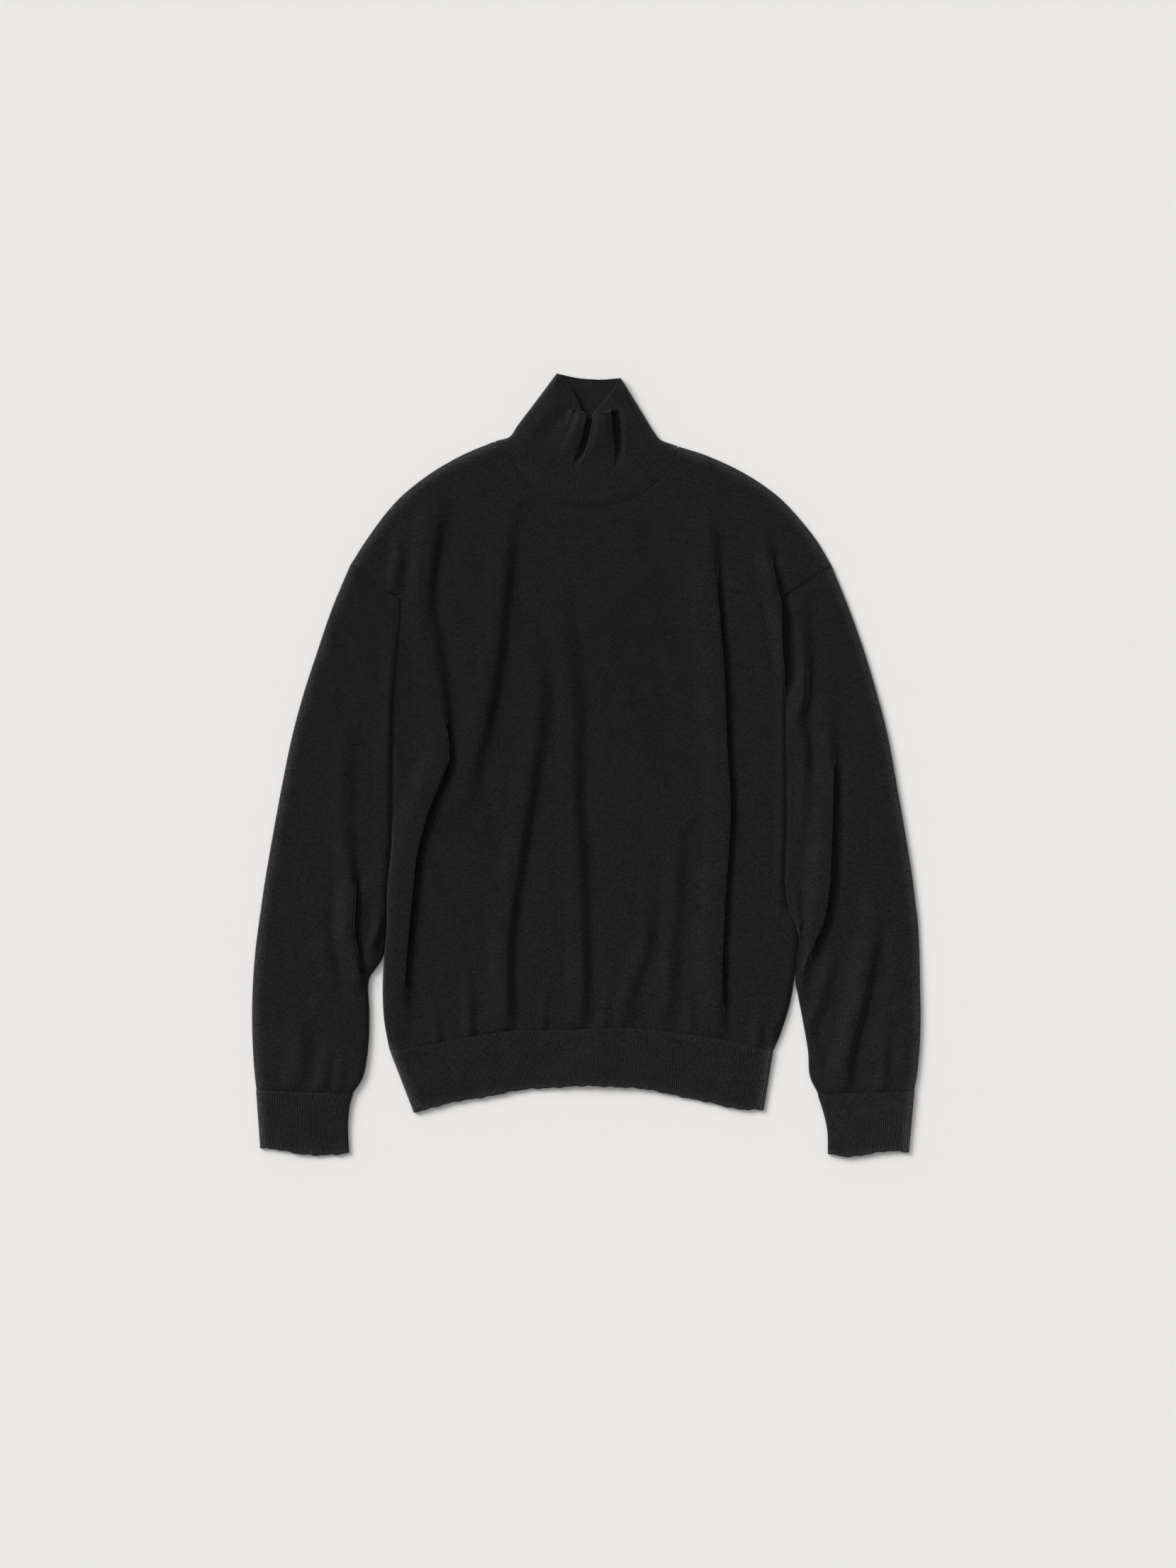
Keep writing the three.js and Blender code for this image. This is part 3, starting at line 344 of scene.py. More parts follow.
# Puckers where the cloth is gathered into the hem band, in the same terms
HEM_PUCKERS = [
    {"name": "pucker 1", "width": 12, "crest": 2, "roll": 0,
     "rise": [(-290, 1.2), (-258, 2.2), (-222, 0)],
     "line": [(-268, -136), (-262, -137.7), (-243, -142), (-224, -148)]},
    {"name": "pucker 2", "width": 13, "crest": 2, "roll": 0,
     "rise": [(-290, 1.4), (-248, 2.6), (-195, 0)],
     "line": [(-262, -105.8), (-216, -109.8), (-200, -111)]},
    {"name": "pucker 3", "width": 12, "crest": 2, "roll": 0,
     "rise": [(-290, 1), (-240, 2), (-200, 0)],
     "line": [(-256, -37), (-238, -36), (-215, -34)]},
    {"name": "pucker 4", "width": 12, "crest": 2, "roll": 0,
     "rise": [(-290, 1), (-248, 1.6), (-205, 0)],
     "line": [(-254, 21), (-232, 23), (-205, 26)]},
    {"name": "pucker 5", "width": 12, "crest": 2, "roll": 0,
     "rise": [(-290, 1), (-250, 1.8), (-212, 0)],
     "line": [(-256, 103.5), (-243, 103), (-215, 101)]},
    {"name": "pucker 6", "width": 12, "crest": 2, "roll": 0,
     "rise": [(-290, 1.2), (-258, 2), (-222, 0)],
     "line": [(-268, 168.3), (-259, 168.3), (-235, 171)]},
]
LEFT_SLEEVE_FOLDS = [
    {"name": "inner crease", "width": 22, "crest": 6, "roll": 1.4, "groove": 7,
     "rise": [(-222, 0), (-205, 4), (-190, 5.8), (-160, 7.4), (-143, 7.6), (-117, 5.2), (-93, 4),
              (-43, 2.3), (7, 1.8), (45, 0)],
     "line": [(-207, -212), (-185, -216.5), (-159, -221), (-135, -220), (-117, -220), (-83, -224),
              (-49, -225.5), (-15, -226), (30, -222), (160, -200)]},
    {"name": "soft trough", "width": 22, "crest": 4, "roll": 0,
     "rise": [(-230, 0), (-198, 2.2), (-175, 2.4), (-150, 1.6), (-122, 0)],
     "line": [(-300, -240), (-217, -239), (-196, -240), (-173, -245), (-149, -249)]},
    {"name": "lower trough", "width": 24, "crest": 5, "roll": 0,
     "rise": [(-325, 1), (-300, 2.4), (-275, 2.3), (-250, 1.4), (-228, 0)],
     "line": [(-313, -274), (-296, -270.5), (-277, -267.5), (-249, -266), (-200, -264)]},
    {"name": "inner ridge", "width": 30, "crest": 13, "roll": 0,
     "rise": [(-160, 0), (-60, 2), (20, 3.6), (100, 3.2), (145, 0)],
     "line": [(-160, -182), (-60, -178), (20, -175), (60, -173), (100, -170), (145, -168)]},
    {"name": "blob 1", "width": 14, "crest": 2, "roll": 0,
     "rise": [(-330, 0.6), (-298, 1.8), (-262, 0)],
     "line": [(-305, -249), (-281, -245)]},
    {"name": "blob 2", "width": 12, "crest": 2, "roll": 0,
     "rise": [(-330, 0.4), (-300, 1), (-270, 0)],
     "line": [(-310, -234), (-295, -232)]},
    {"name": "fork", "width": 13, "crest": 2, "roll": 0.4,
     "rise": [(-192, 0), (-172, 3.6), (-158, 3.8), (-143, 1.8), (-126, 0)],
     "line": [(-173.4, -200), (-153, -194)]},
]
RIGHT_SLEEVE_FOLDS = [
    {"name": "upper crease", "width": 18, "crest": 4, "roll": 0.8,
     "rise": [(-92, 0), (-63, 1), (-38, 2.4), (-13, 4.2), (12, 4.8), (37, 4.2), (62, 5.2),
              (87, 5.2), (112, 4.2), (137, 2.6), (162, 0.8), (175, 0)],
     "line": [(-120, 213), (-50, 214.5), (7, 214.5), (30, 211), (46, 208), (60, 212), (87, 213.5),
              (121, 212.5), (167, 210.5)]},
    {"name": "deep crease", "width": 26, "crest": 8, "roll": 3, "groove": 16,
     "rise": [(-222, 0), (-191, 4), (-166, 6.4), (-141, 7.4), (-60, 7), (-16, 5.8), (9, 4.2),
              (34, 2.4), (59, 1.2), (90, 0)],
     "line": [(-212, 207), (-189, 215), (-169, 222.5), (-151, 230.5), (-117, 235.5), (-83, 237.5),
              (-15, 239.5), (19, 239), (78, 235), (120, 233)]},
    {"name": "lower crease", "width": 26, "crest": 7, "roll": 0.8,
     "rise": [(-322, 1), (-297, 4.2), (-247, 5), (-222, 5), (-197, 4.2), (-172, 3.2), (-147, 2.2),
              (-122, 1), (-95, 0)],
     "line": [(-313, 254), (-291, 254), (-269, 258), (-245, 264), (-219, 270.5), (-185, 277),
              (-151, 282), (-117, 282), (-80, 281)]},
    {"name": "soft crease", "width": 18, "crest": 3, "roll": 0,
     "rise": [(-278, 0), (-245, 1.9), (-200, 1.8), (-160, 0)],
     "line": [(-263, 217), (-249, 220.5), (-231, 228), (-189, 240)]},
    {"name": "wedge", "width": 9, "crest": 2, "roll": 0.4,
     "rise": [(-182, 0), (-164, 3.4), (-148, 3.2), (-134, 1.8), (-118, 0)],
     "line": [(-182, 204), (-164, 206), (-150, 207), (-134, 205), (-118, 203)]},
    {"name": "cuff pucker", "width": 13, "crest": 2, "roll": 0,
     "rise": [(-330, 0.8), (-290, 1.7), (-250, 0)],
     "line": [(-299, 287.5), (-269, 291)]},
]

# Broad swells and hollows of the cloth: centre, half-widths across and up, height
SWELLS = [
    {"at": (20, 150), "across": 45, "up": 60, "height": 1.6},
    {"at": (85, 120), "across": 22, "up": 130, "height": -1.1},
    {"at": (-105, 120), "across": 26, "up": 70, "height": 1.2},
    {"at": (-30, -170), "across": 16, "up": 70, "height": 0.8},
    {"at": (60, -60), "across": 45, "up": 90, "height": 0.9},
    {"at": (165, 30), "across": 18, "up": 120, "height": 1},
    {"at": (-120, -150), "across": 22, "up": 80, "height": 0.9},
    {"at": (-163, 198), "across": 7, "up": 34, "height": 1.6},
    {"at": (-155, 215), "across": 18, "up": 22, "height": 0.9},
    {"at": (-194, 215), "across": 12, "up": 18, "height": -1.2},
    {"at": (150, 240), "across": 22, "up": 30, "height": 1},
]

# Small unevenness of cloth that has been laid by hand: wavelengths across and up, height, and the
# place where each wave begins. The sleeves read swells and ripples a little aside
SLEEVE_ASIDE = 90
RIPPLES = [
    {"across": 47, "up": 163, "height": 0.22, "turn": 0.4},
    {"across": 29, "up": 97, "height": 0.13, "turn": 2.1},
    {"across": 71, "up": 61, "height": 0.16, "turn": 4.4},
    {"across": 18, "up": 140, "height": 0.07, "turn": 1.3},
]

# Waves along the bands as (height, wavelength over 2 pi, turn): the drape of the hem and the cuffs,
# and the unevenness of their open edge
HEM_WAVES = [(0.45, 21, 0.6), (0.3, 11.5, 2), (0.35, 37, 0)]
CUFF_WAVES = [(0.35, 9, 1), (0.25, 17, 0)]
EDGE_WAVES = [(0.35, 3.1, 0), (0.3, 1.7, 1), (0.5, 9.7, 2)]
HEM_ARCH = {"height": 1.6, "at": 5, "half": 70}
RIGHT_CUFF_LIFT = 0.9

# Shares of a band from its seam to its open edge: where the ribs rise, where the waves grow, where
# the band falls towards its edge, and where the edge turns uneven
BAND_RIBS_FROM = 0.03
WAVES_GROW = (0.05, 0.7)
BAND_FALL_FROM = 0.1
RAGGED_FROM = 0.85

# Shares of the collar from its seam to its mouth: where its sides leave the seam and its ribs rise
COLLAR_SHIFT = 0.3
COLLAR_RIBS_FROM = 0.06

# Collar relief: lines from seam to mouth as (y, x), left to right, with the height at the mouth
# and how far a crown's edge leans over its gap. The crowns grow over PLEATS, up to the mouth; the
# gaps between them sink over GAPS and end over GAP_END, behind the crowns' lips
PLEATS = (284, 332)
GAPS = (281, 304)
GAP_END = (333, 340)
BEHIND_LIPS = 9
COLLAR_LINES = [
    {"name": "left roll", "height": 9.2, "line": [(284, -66), (315, -54), (345, -30)]},
    {"name": "soft valley", "height": 7.4,
     "line": [(284, -47), (315, -38), (332, -24), (345, -10)]},
    {"name": "first crown, flank", "height": 10.5,
     "line": [(284, -33), (295, -30), (311, -23), (333, -12.5)]},
    {"name": "first crown, crest", "height": 15.5,
     "line": [(284, -22), (295, -19), (311, -13), (333, -6)]},
    {"name": "first crown, edge", "height": 15.5, "lean": 1.6,
     "line": [(284, -15), (294, -12), (311, -7.2), (333, -1.8)]},
    {"name": "first gap, left", "gap": 3.4,
     "line": [(284, -13), (294, -9.8), (311, -5.6), (333, 0)]},
    {"name": "first gap, right", "gap": 3.4,
     "line": [(284, -10), (294, -5), (311, 1.6), (333, 5.8)]},
    {"name": "second crown, edge", "height": 12, "lean": -0.8,
     "line": [(284, -8), (294, -3), (311, 3.8), (333, 8)]},
    {"name": "second crown, left crest", "height": 16,
     "line": [(284, 2), (294, 5), (311, 9.5), (333, 12.5)]},
    {"name": "second crown, right crest", "height": 16,
     "line": [(284, 17), (294, 18.5), (311, 18), (333, 17)]},
    {"name": "second crown, side", "height": 14, "lean": 1.6,
     "line": [(284, 25), (294, 26), (311, 24), (333, 21.5)]},
    {"name": "second gap, left", "gap": 3.4,
     "line": [(284, 27.6), (294, 27.8), (311, 26), (336, 23.6)]},
    {"name": "second gap, right", "gap": 3.8,
     "line": [(284, 30.5), (294, 31), (311, 31), (336, 29.5)]},
    {"name": "right layer", "height": 9.6,
     "line": [(284, 38), (294, 38), (311, 38.5), (336, 36.5)]},
    {"name": "right roll", "height": 9.4, "line": [(284, 66), (318, 54), (355, 37)]},
]

# Each crown ends at its lip, a line as (x, y) pairs: above it the mouth's edge lies lower, down to
# below, and the fall fades over LIP_EDGE at the lip's two ends
LIPS = [
    {"name": "second lip", "line": [(5, 335.6), (12, 336), (20, 336.8), (23.5, 340.5), (25.5, 344)],
     "between": (5, 26), "below": 9},
    {"name": "first lip", "line": [(-14, 333), (-11, 335), (-8, 336.5), (-5, 336.8), (-1, 335)],
     "between": (-13.5, -1), "below": 9.5},
]
LIP_FALL = 1.2
LIP_EDGE = 1

# Single fibres of the black yarn look faintly warm or cool
WARM_FLECK = (1.06, 1.02, 0.9)
COOL_FLECK = (0.96, 0.97, 1.14)

# Painted light: the cloth's colour grows paler towards the cuffs and the hem, standing in for light
# that
# falls brighter there: a share of its colour, and how much that share grows in each metre away from
# a spot on the chest
PAINTED_LIGHT_CENTRE = (-60, 80)
PAINTED_LIGHT_START = 0.97
PAINTED_LIGHT_RATE = 0.78

# Painted sheen: the nap's colour is made paler near the garment's outer edges, where the cloth
# turns away
PAINTED_SHEEN_REACH = 14
PAINTED_SHEEN_PALE = 1.9

# The knit's spots: strands, flecks drawn out along the wales, tufts, clouds and faint hues. size is
# in metres, levels are those of the noise between which a spot turns from dark to pale, and height
# and shade are its shares of the surface's relief and shade
SPOTS = {
    "strand": {"size": 0.0007, "levels": (0.38, 0.62), "height": 0.6},
    "fleck": {"size": 0.0011, "levels": (0.36, 0.64), "stretch": 2},
    "tuft": {"size": 0.0026, "levels": (0.3, 0.7), "height": 0.5, "shade": 0.2},
    "cloud": {"size": 0.014, "levels": (0.35, 0.65), "height": 0.25, "shade": 0.08},
    "hue": {"size": 0.0014, "levels": (0.4, 0.6)},
}
MOTTLE_SHARE = 0.72
NOISE_ROUGHNESS = 0.6

# Stitches: how far their legs slant, how far they narrow, and their share of the relief
STITCH_SLANT = 1.3
STITCH_WAIST = 0.45
STITCH_HEIGHT = 0.6
KNIT_BUMP = 0.8
KNIT_ROUGHNESS = (0.86, 0.12)
YARN_GLOSS = {"Specular IOR Level": 0.1, "Sheen Roughness": 0.3, "Sheen Tint": (1, 0.97, 1, 1)}

# Thread and loose fibres: spots in metres with their levels, shades, roughness and relief
THREAD_SPOTS = {"size": 0.0015, "levels": (0.3, 0.7), "shades": (0.75, 1.25)}
THREAD_ROUGHNESS = (0.9, 0.05)
THREAD_BUMP = {"Strength": 0.3, "Distance": 0.0001}
THREAD_NAP = 0.1
FIBRE_NAP = 0.2
FIBRE_PALE = 2.2

# The paper floor's faint grain
GRAIN_SIZE = 0.03
GRAIN_SHADES = (0.995, 1.005)

# Two suns light the sweater: how wide each is in degrees, and where it stands
LIGHTS = {
    "key": {"spread": 26, "towards": (-0.72, 0.56, 0.62)},
    "soft": {"spread": 100, "towards": (-0.42, 0.5, 0.8)},
}
ROOM_COLOUR = (1, 0.998, 0.995, 1)

# The floor's half-width and how far it lies below the garment, in metres
FLOOR_HALF = 14.0
FLOOR_DROP = 0.0002

# The camera's frame over the photo's plane
FRAME_HEIGHT = 1504.2
CAMERA_AIM = (1.6, -18.1)
CLOTH_PLANE = 4.5
SENSOR_WIDTH = 36


class KnitSettings(PropertyGroup):
    wall: FloatProperty(
        name="Cloth thickness", description="Thickness of the knitted cloth", default=0.0012,
        min=0.0005, max=0.0025, unit="LENGTH",
    )
    rib_height: FloatProperty(
        name="Rib height", description="How far a knit wale of a rib stands up", default=0.00045,
        min=0, max=0.0012, unit="LENGTH",
    )
    wale: FloatProperty(
        name="Wale pitch", description="Width of one column of plain knit stitches", default=0.0016,
        min=0.0008, max=0.004, unit="LENGTH",
    )
    course: FloatProperty(
        name="Course pitch", description="Height of one row of plain knit stitches", default=0.0012,
        min=0.0006, max=0.004, unit="LENGTH",
    )
    relief: FloatProperty(
        name="Stitch relief", description="Depth of the stitches in the cloth's surface",
        default=0.00035, min=0, max=0.001, unit="LENGTH",
    )


class YarnSettings(PropertyGroup):
    jersey: FloatVectorProperty(
        name="Jersey yarn", description="Colour of the plain knit", subtype="COLOR", size=3,
        default=(0.0094, 0.0088, 0.0093), min=0, max=1,
    )
    ribbing: FloatVectorProperty(
        name="Rib yarn", description="Colour of the ribbed bands", subtype="COLOR", size=3,
        default=(0.0112, 0.0105, 0.0111), min=0, max=1,
    )
    mottle: FloatProperty(
        name="Mottle", description="How far single fibres and stitches differ in shade",
        default=0.95, min=0, max=1, subtype="FACTOR",
    )
    nap: FloatProperty(
        name="Nap", description="Sheen of the loose fibres on the cloth", default=0.2, min=0, max=1,
        subtype="FACTOR",
    )


class FuzzSettings(PropertyGroup):
    length: FloatProperty(
        name="Fibre length", description="Longest loose fibre at an edge", default=0.0045,
        min=0.001, max=0.01, unit="LENGTH",
    )
    thickness: FloatProperty(
        name="Fibre thickness", description="Thickness of a loose fibre", default=0.00007,
        min=0.00002, max=0.0003, unit="LENGTH",
    )
    seed: IntProperty(
        name="Seed", description="Seed of the loose fibres' places", default=11, min=0,
    )


class StudioSettings(PropertyGroup):
    floor: FloatVectorProperty(
        name="Floor", description="Colour of the pale floor", subtype="COLOR", size=3,
        default=(0.80, 0.79, 0.775), min=0, max=1,
    )
    key: FloatProperty(
        name="Key light", description="Strength of the main light from the upper left",
        default=2.57, min=0, max=20,
    )
    soft: FloatProperty(
        name="Soft light", description="Strength of the wide light above the left shoulder",
        default=1.48, min=0, max=20,
    )
    fill: FloatProperty(
        name="Fill light", description="Strength of the light from all round", default=0.2,
        min=0, max=5,
    )
    height: FloatProperty(
        name="Camera height", description="Height of the camera over the garment", default=2.6,
        min=1, max=6, unit="LENGTH",
    )


class SweaterSettings(PropertyGroup):
    knit: PointerProperty(type=KnitSettings)
    yarn: PointerProperty(type=YarnSettings)
    fuzz: PointerProperty(type=FuzzSettings)
    studio: PointerProperty(type=StudioSettings)


def settings():
    return bpy.context.scene.sweater


# Small maths on arrays

def lerp(a, b, t):
    return a + (b - a) * t


def smooth(x, low, high):
    t = np.clip((x - low) / (high - low), 0, 1)
    return t * t * (3 - 2 * t)


def round_edge(distance, radius):
    """Quarter round: 0 at an edge, 1 from radius inwards."""
    left = np.maximum(1 - distance / radius, 0)
    return np.sqrt(np.maximum(1 - left * left, 0))


def spaced(count, dense_ends=0.5):
    """Shares from 0 to 1, closer together at both ends."""
    even = np.linspace(0, 1, count)
    return even - dense_ends * np.sin(2 * math.pi * even) / (2 * math.pi)


class Curve:
    """A smooth line through points in the plane, read by its share of the length."""

    def __init__(self, points, steps=48):
        p = np.array(points, float)
        p = np.vstack([2 * p[0] - p[1], p, 2 * p[-1] - p[-2]])
        t = np.linspace(0, 1, steps, endpoint=False)[:, None]
        stretches = []
        for a, b, c, d in zip(p, p[1:], p[2:], p[3:]):
            before, span, after = (math.hypot(*(n - m)) ** 0.5 for m, n in ((a, b), (b, c), (c, d)))
            start = span * ((b - a) / before - (c - a) / (before + span) + (c - b) / span)
            end = span * ((c - b) / span - (d - b) / (span + after) + (d - c) / after)
            bend = 3 * (c - b) - 2 * start - end
            twist = 2 * (b - c) + start + end
            stretches.append(b + start * t + bend * t**2 + twist * t**3)
        self.points = np.vstack([*stretches, p[-2:-1]])
        reach = np.concatenate([[0], np.cumsum(np.hypot(*np.diff(self.points, axis=0).T))])
        self.share = reach / reach[-1]

    def __call__(self, t):
        t = np.clip(t, 0, 1)
        return np.stack([np.interp(t, self.share, self.points[:, k]) for k in (0, 1)], -1)


class UprightLine:
    """A smooth line up the garment: x for any y, through (y, x) pairs sorted by y."""

    def __init__(self, pairs):
        self.y, self.x = np.array(pairs, float).T
        n = len(self.y)
        before = np.maximum(np.arange(n) - 1, 0)
        after = np.minimum(np.arange(n) + 1, n - 1)
        self.slope = (self.x[after] - self.x[before]) / (self.y[after] - self.y[before])

    def __call__(self, y):
        y = np.clip(y, self.y[0], self.y[-1])
        i = np.clip(np.searchsorted(self.y, y, side="right") - 1, 0, len(self.y) - 2)
        span = self.y[i + 1] - self.y[i]
        t = (y - self.y[i]) / span
        bend_in = t * (1 - t) ** 2 * span * self.slope[i]
        bend_out = t * t * (1 - t) * span * self.slope[i + 1]
        return lerp(self.x[i], self.x[i + 1], t * t * (3 - 2 * t)) + bend_in - bend_out


def patch(low, high, left, right):
    """A surface between four lines: low and high run left to right, left and right run upwards."""
    corners = [low(0.0), low(1.0), high(0.0), high(1.0)]

    def surface(s, v):
        s, v = np.broadcast_arrays(np.asarray(s, float), np.asarray(v, float))
        f = (v * v)[..., None]
        across = s[..., None]
        sides = lerp(left(v), right(v), across)
        ends = lerp(low(s), high(s), f)
        flat = lerp(lerp(corners[0], corners[1], across), lerp(corners[2], corners[3], across), f)
        return sides + ends - flat

    return surface


def moved(curve, dx, dy):
    return lambda t: curve(t) + np.array([dx, dy])


def backwards(curve):
    return lambda t: curve(1 - np.asarray(t, float))


def straight(a, b):
    a, b = np.array(a, float), np.array(b, float)
    return lambda t: lerp(a, b, np.asarray(t, float)[..., None])


def joined(first, second, share):
    """Two lines end to end, meeting at share."""
    def line(t):
        t = np.asarray(t, float)
        return np.where((t < share)[..., None], first(t / share), second((t - share) / (1 - share)))

    return line


def off_seam(curve, centre, distance):
    """Moves a line off a seam, away from a centre or towards it."""
    centre = np.array(centre, float)

    def line(t):
        out = curve(t) - centre
        return centre + out * (1 + distance / np.linalg.norm(out, axis=-1, keepdims=True))

    return line


# Folds

# A low fold falls softly and a high one steeply: half-widths of the fall, and the heights between
# which it changes. The fall takes at most a share of the fold's width, and past it the cloth dips
# by a share of its rise over another share of the width
FALLS, FALL_HEIGHTS = (8.5, 2.6), (1.5, 8)
FALL_SHARE = 0.36
FOLD_DIP = 0.34
HOLLOW_SHARE = 0.7

# A high fold leans over: the heights between which it starts to, where its crest and its foot lean,
# how far the foot leans back, and how far the whole fall is set aside for it
LEANING_FOLD = (2.5, 8)
CREST_LEAN = {"before": 6, "full": -1.5, "end": 0.8}
FOOT_LEAN = {"start": 0.4, "full": 2.6, "share": 0.6}
FALL_ASIDE = 0.5
ROLL_ASIDE = 1.35

# A grooved fold turns into its groove between these heights
GROOVED_FOLD = (4.5, 5.6)
GROOVE_FALL = 1.6
GROOVE_DIP = 0.5


def fold_moves(folds, x, y):
    """Height and sideways lean that folds give the cloth at each place."""
    height = np.zeros_like(x)
    lean = np.zeros_like(x)
    for fold in folds:
        rise = np.maximum(UprightLine(fold["rise"])(y), 0)
        deep = smooth(rise, *GROOVED_FOLD) if "groove" in fold else 0
        roll = fold["roll"] * lerp(smooth(rise, *LEANING_FOLD), 1, deep)
        past = x - UprightLine(fold["line"])(y) + FALL_ASIDE + ROLL_ASIDE * roll
        wide = lerp(*FALLS, smooth(rise, *FALL_HEIGHTS))
        half = lerp(np.minimum(wide, FALL_SHARE * fold["width"]), GROOVE_FALL, deep)
        reach = half + lerp(HOLLOW_SHARE * fold["width"], fold.get("groove", 0), deep)
        dip = lerp(FOLD_DIP, GROOVE_DIP, deep)
        flank = smooth(past, -fold["width"], -np.maximum(fold["crest"], half))
        fall = lerp(1, -dip, smooth(past, -half, half))
        hollow = -dip * (1 - smooth(past, half, reach))
        height += rise * np.where(past < -half, flank, np.where(past < half, fall, hollow))
        crest = smooth(past, -fold["crest"] - CREST_LEAN["before"], CREST_LEAN["full"])
        crest = crest * (1 - smooth(past, CREST_LEAN["full"], CREST_LEAN["end"]))
        foot = smooth(past, FOOT_LEAN["start"], FOOT_LEAN["full"])
        foot = foot * (1 - smooth(past, FOOT_LEAN["full"], reach))
        lean += roll * (crest - FOOT_LEAN["share"] * foot)
    return height, lean


def unevenness(x, y):
    """Broad swells and small ripples of the cloth."""
    height = np.zeros_like(x)
    for swell in SWELLS:
        across = (x - swell["at"][0]) / swell["across"]
        up = (y - swell["at"][1]) / swell["up"]
        height += swell["height"] * np.exp(-across * across - up * up)
    for ripple in RIPPLES:
        phase = 2 * math.pi * (x / ripple["across"] + y / ripple["up"]) + ripple["turn"]
        height += ripple["height"] * np.sin(phase)
    return height


# Meshes

# Later than any place along a loop: its last step, and no step left
LOOP_END = (1e9, 2e9)
SHARP_EDGE = 70


class Shell:
    """Points, faces and the cloth's own coordinates of one knitted piece, gathered part by part."""

    def __init__(self):
        self.points, self.cloth, self.quads, self.triangles = [], [], [], []
        self.count = 0

    def add(self, points, cloth):
        """Adds a grid of points, in millimetres, and gives the grid of their numbers."""
        numbers = self.count + np.arange(points[..., 0].size).reshape(points.shape[:-1])
        self.points.append(points.reshape(-1, 3))
        self.cloth.append(cloth.reshape(-1, 2))
        self.count += numbers.size
        return numbers

    def skin(self, grid, closed=False, inwards=False):
        """Covers a grid of point numbers with quads; a closed one joins last column to first."""
        if closed:
            grid = np.concatenate([grid, grid[:, :1]], 1)
        corners = [grid[:-1, :-1], grid[:-1, 1:], grid[1:, 1:], grid[1:, :-1]]
        quads = np.stack(corners, -1).reshape(-1, 4)
        self.quads.append(quads[:, ::-1] if inwards else quads)

    def band(self, outer, outer_at, inner, inner_at, flipped=False):
        """Joins an outer and an inner loop that may have different numbers of points. outer_at and
        inner_at give the points' places along their loops."""
        faces, i, k = [], 0, 0
        next_outer, next_inner = [*outer_at[1:], *LOOP_END], [*inner_at[1:], *LOOP_END]
        while i < len(outer) or k < len(inner):
            a, b = outer[i % len(outer)], inner[k % len(inner)]
            if next_outer[i] <= next_inner[k]:
                faces.append((a, b, outer[(i + 1) % len(outer)]))
                i += 1
            else:
                faces.append((a, b, inner[(k + 1) % len(inner)]))
                k += 1
        faces = np.array(faces)
        self.triangles.append(faces[:, ::-1] if flipped else faces)

    def make(self, name, finish):
        """Makes the object, in metres, in the CAD's frame."""
        points = np.concatenate(self.points)
        points[:, :2] += CUT_ORIGIN
        faces = [*map(np.asarray, self.quads), *map(np.asarray, self.triangles)]
        sizes = np.concatenate([np.full(len(f), f.shape[1]) for f in faces])
        corners = np.concatenate([f.reshape(-1) for f in faces])
        mesh = bpy.data.meshes.new(name)
        mesh.vertices.add(len(points))
        mesh.vertices.foreach_set("co", (points * MM).ravel())
        mesh.loops.add(len(corners))
        mesh.loops.foreach_set("vertex_index", corners)
        mesh.polygons.add(len(sizes))
        mesh.polygons.foreach_set("loop_start", np.cumsum(sizes) - sizes)
        mesh.update(calc_edges=True)
        mesh.validate()
        cloth = mesh.uv_layers.new(name="cloth")
        cloth.uv.foreach_set("vector", (np.concatenate(self.cloth)[corners] * MM).ravel())
        # The edge layer holds each place's distance from the garment's outer edges, which sets the
        # painted sheen there
        if finish.name.endswith("knit"):
            apart = from_outline(points[:, :2] - CUT_ORIGIN)[corners] * MM
            edge = mesh.uv_layers.new(name="edge")
            edge.uv.foreach_set("vector", np.stack([apart, np.zeros_like(apart)], -1).ravel())
        mesh.polygons.foreach_set("use_smooth", np.ones(len(sizes), bool))
        mesh.set_sharp_from_angle(angle=math.radians(SHARP_EDGE))
        mesh.materials.append(finish)
        piece = bpy.data.objects.new(name, mesh)
        bpy.context.scene.collection.objects.link(piece)
        return piece


def unit(vectors):
    return vectors / np.maximum(np.linalg.norm(vectors, axis=-1, keepdims=True), 1e-9)


def normals(points):
    """Upward directions of a grid of points, from its neighbours."""
    return unit(np.cross(np.gradient(points, axis=1), np.gradient(points, axis=0)))


def border(grid):
    """The numbers round a grid's edge, counter-clockwise."""
    return np.concatenate([grid[0], grid[1:, -1], grid[-1, -2::-1], grid[-2:0:-1, 0]])


def panel(name, upper, lower, cloth, coarse, finish):
    """A flat panel's shell: its upper face, a coarser lower one and the edge between them."""
    shell = Shell()
    upper_grid = shell.add(upper, cloth)
    lower_grid = shell.add(lower[::coarse, ::coarse], cloth[::coarse, ::coarse])
    shell.skin(upper_grid)
    shell.skin(lower_grid, inwards=True)
    upper_loop, lower_loop = border(upper_grid), border(lower_grid)
    upper_at, lower_at = np.arange(len(upper_loop)), coarse * np.arange(len(lower_loop))
    shell.band(upper_loop, upper_at, lower_loop, lower_at)
    return shell.make(name, finish)


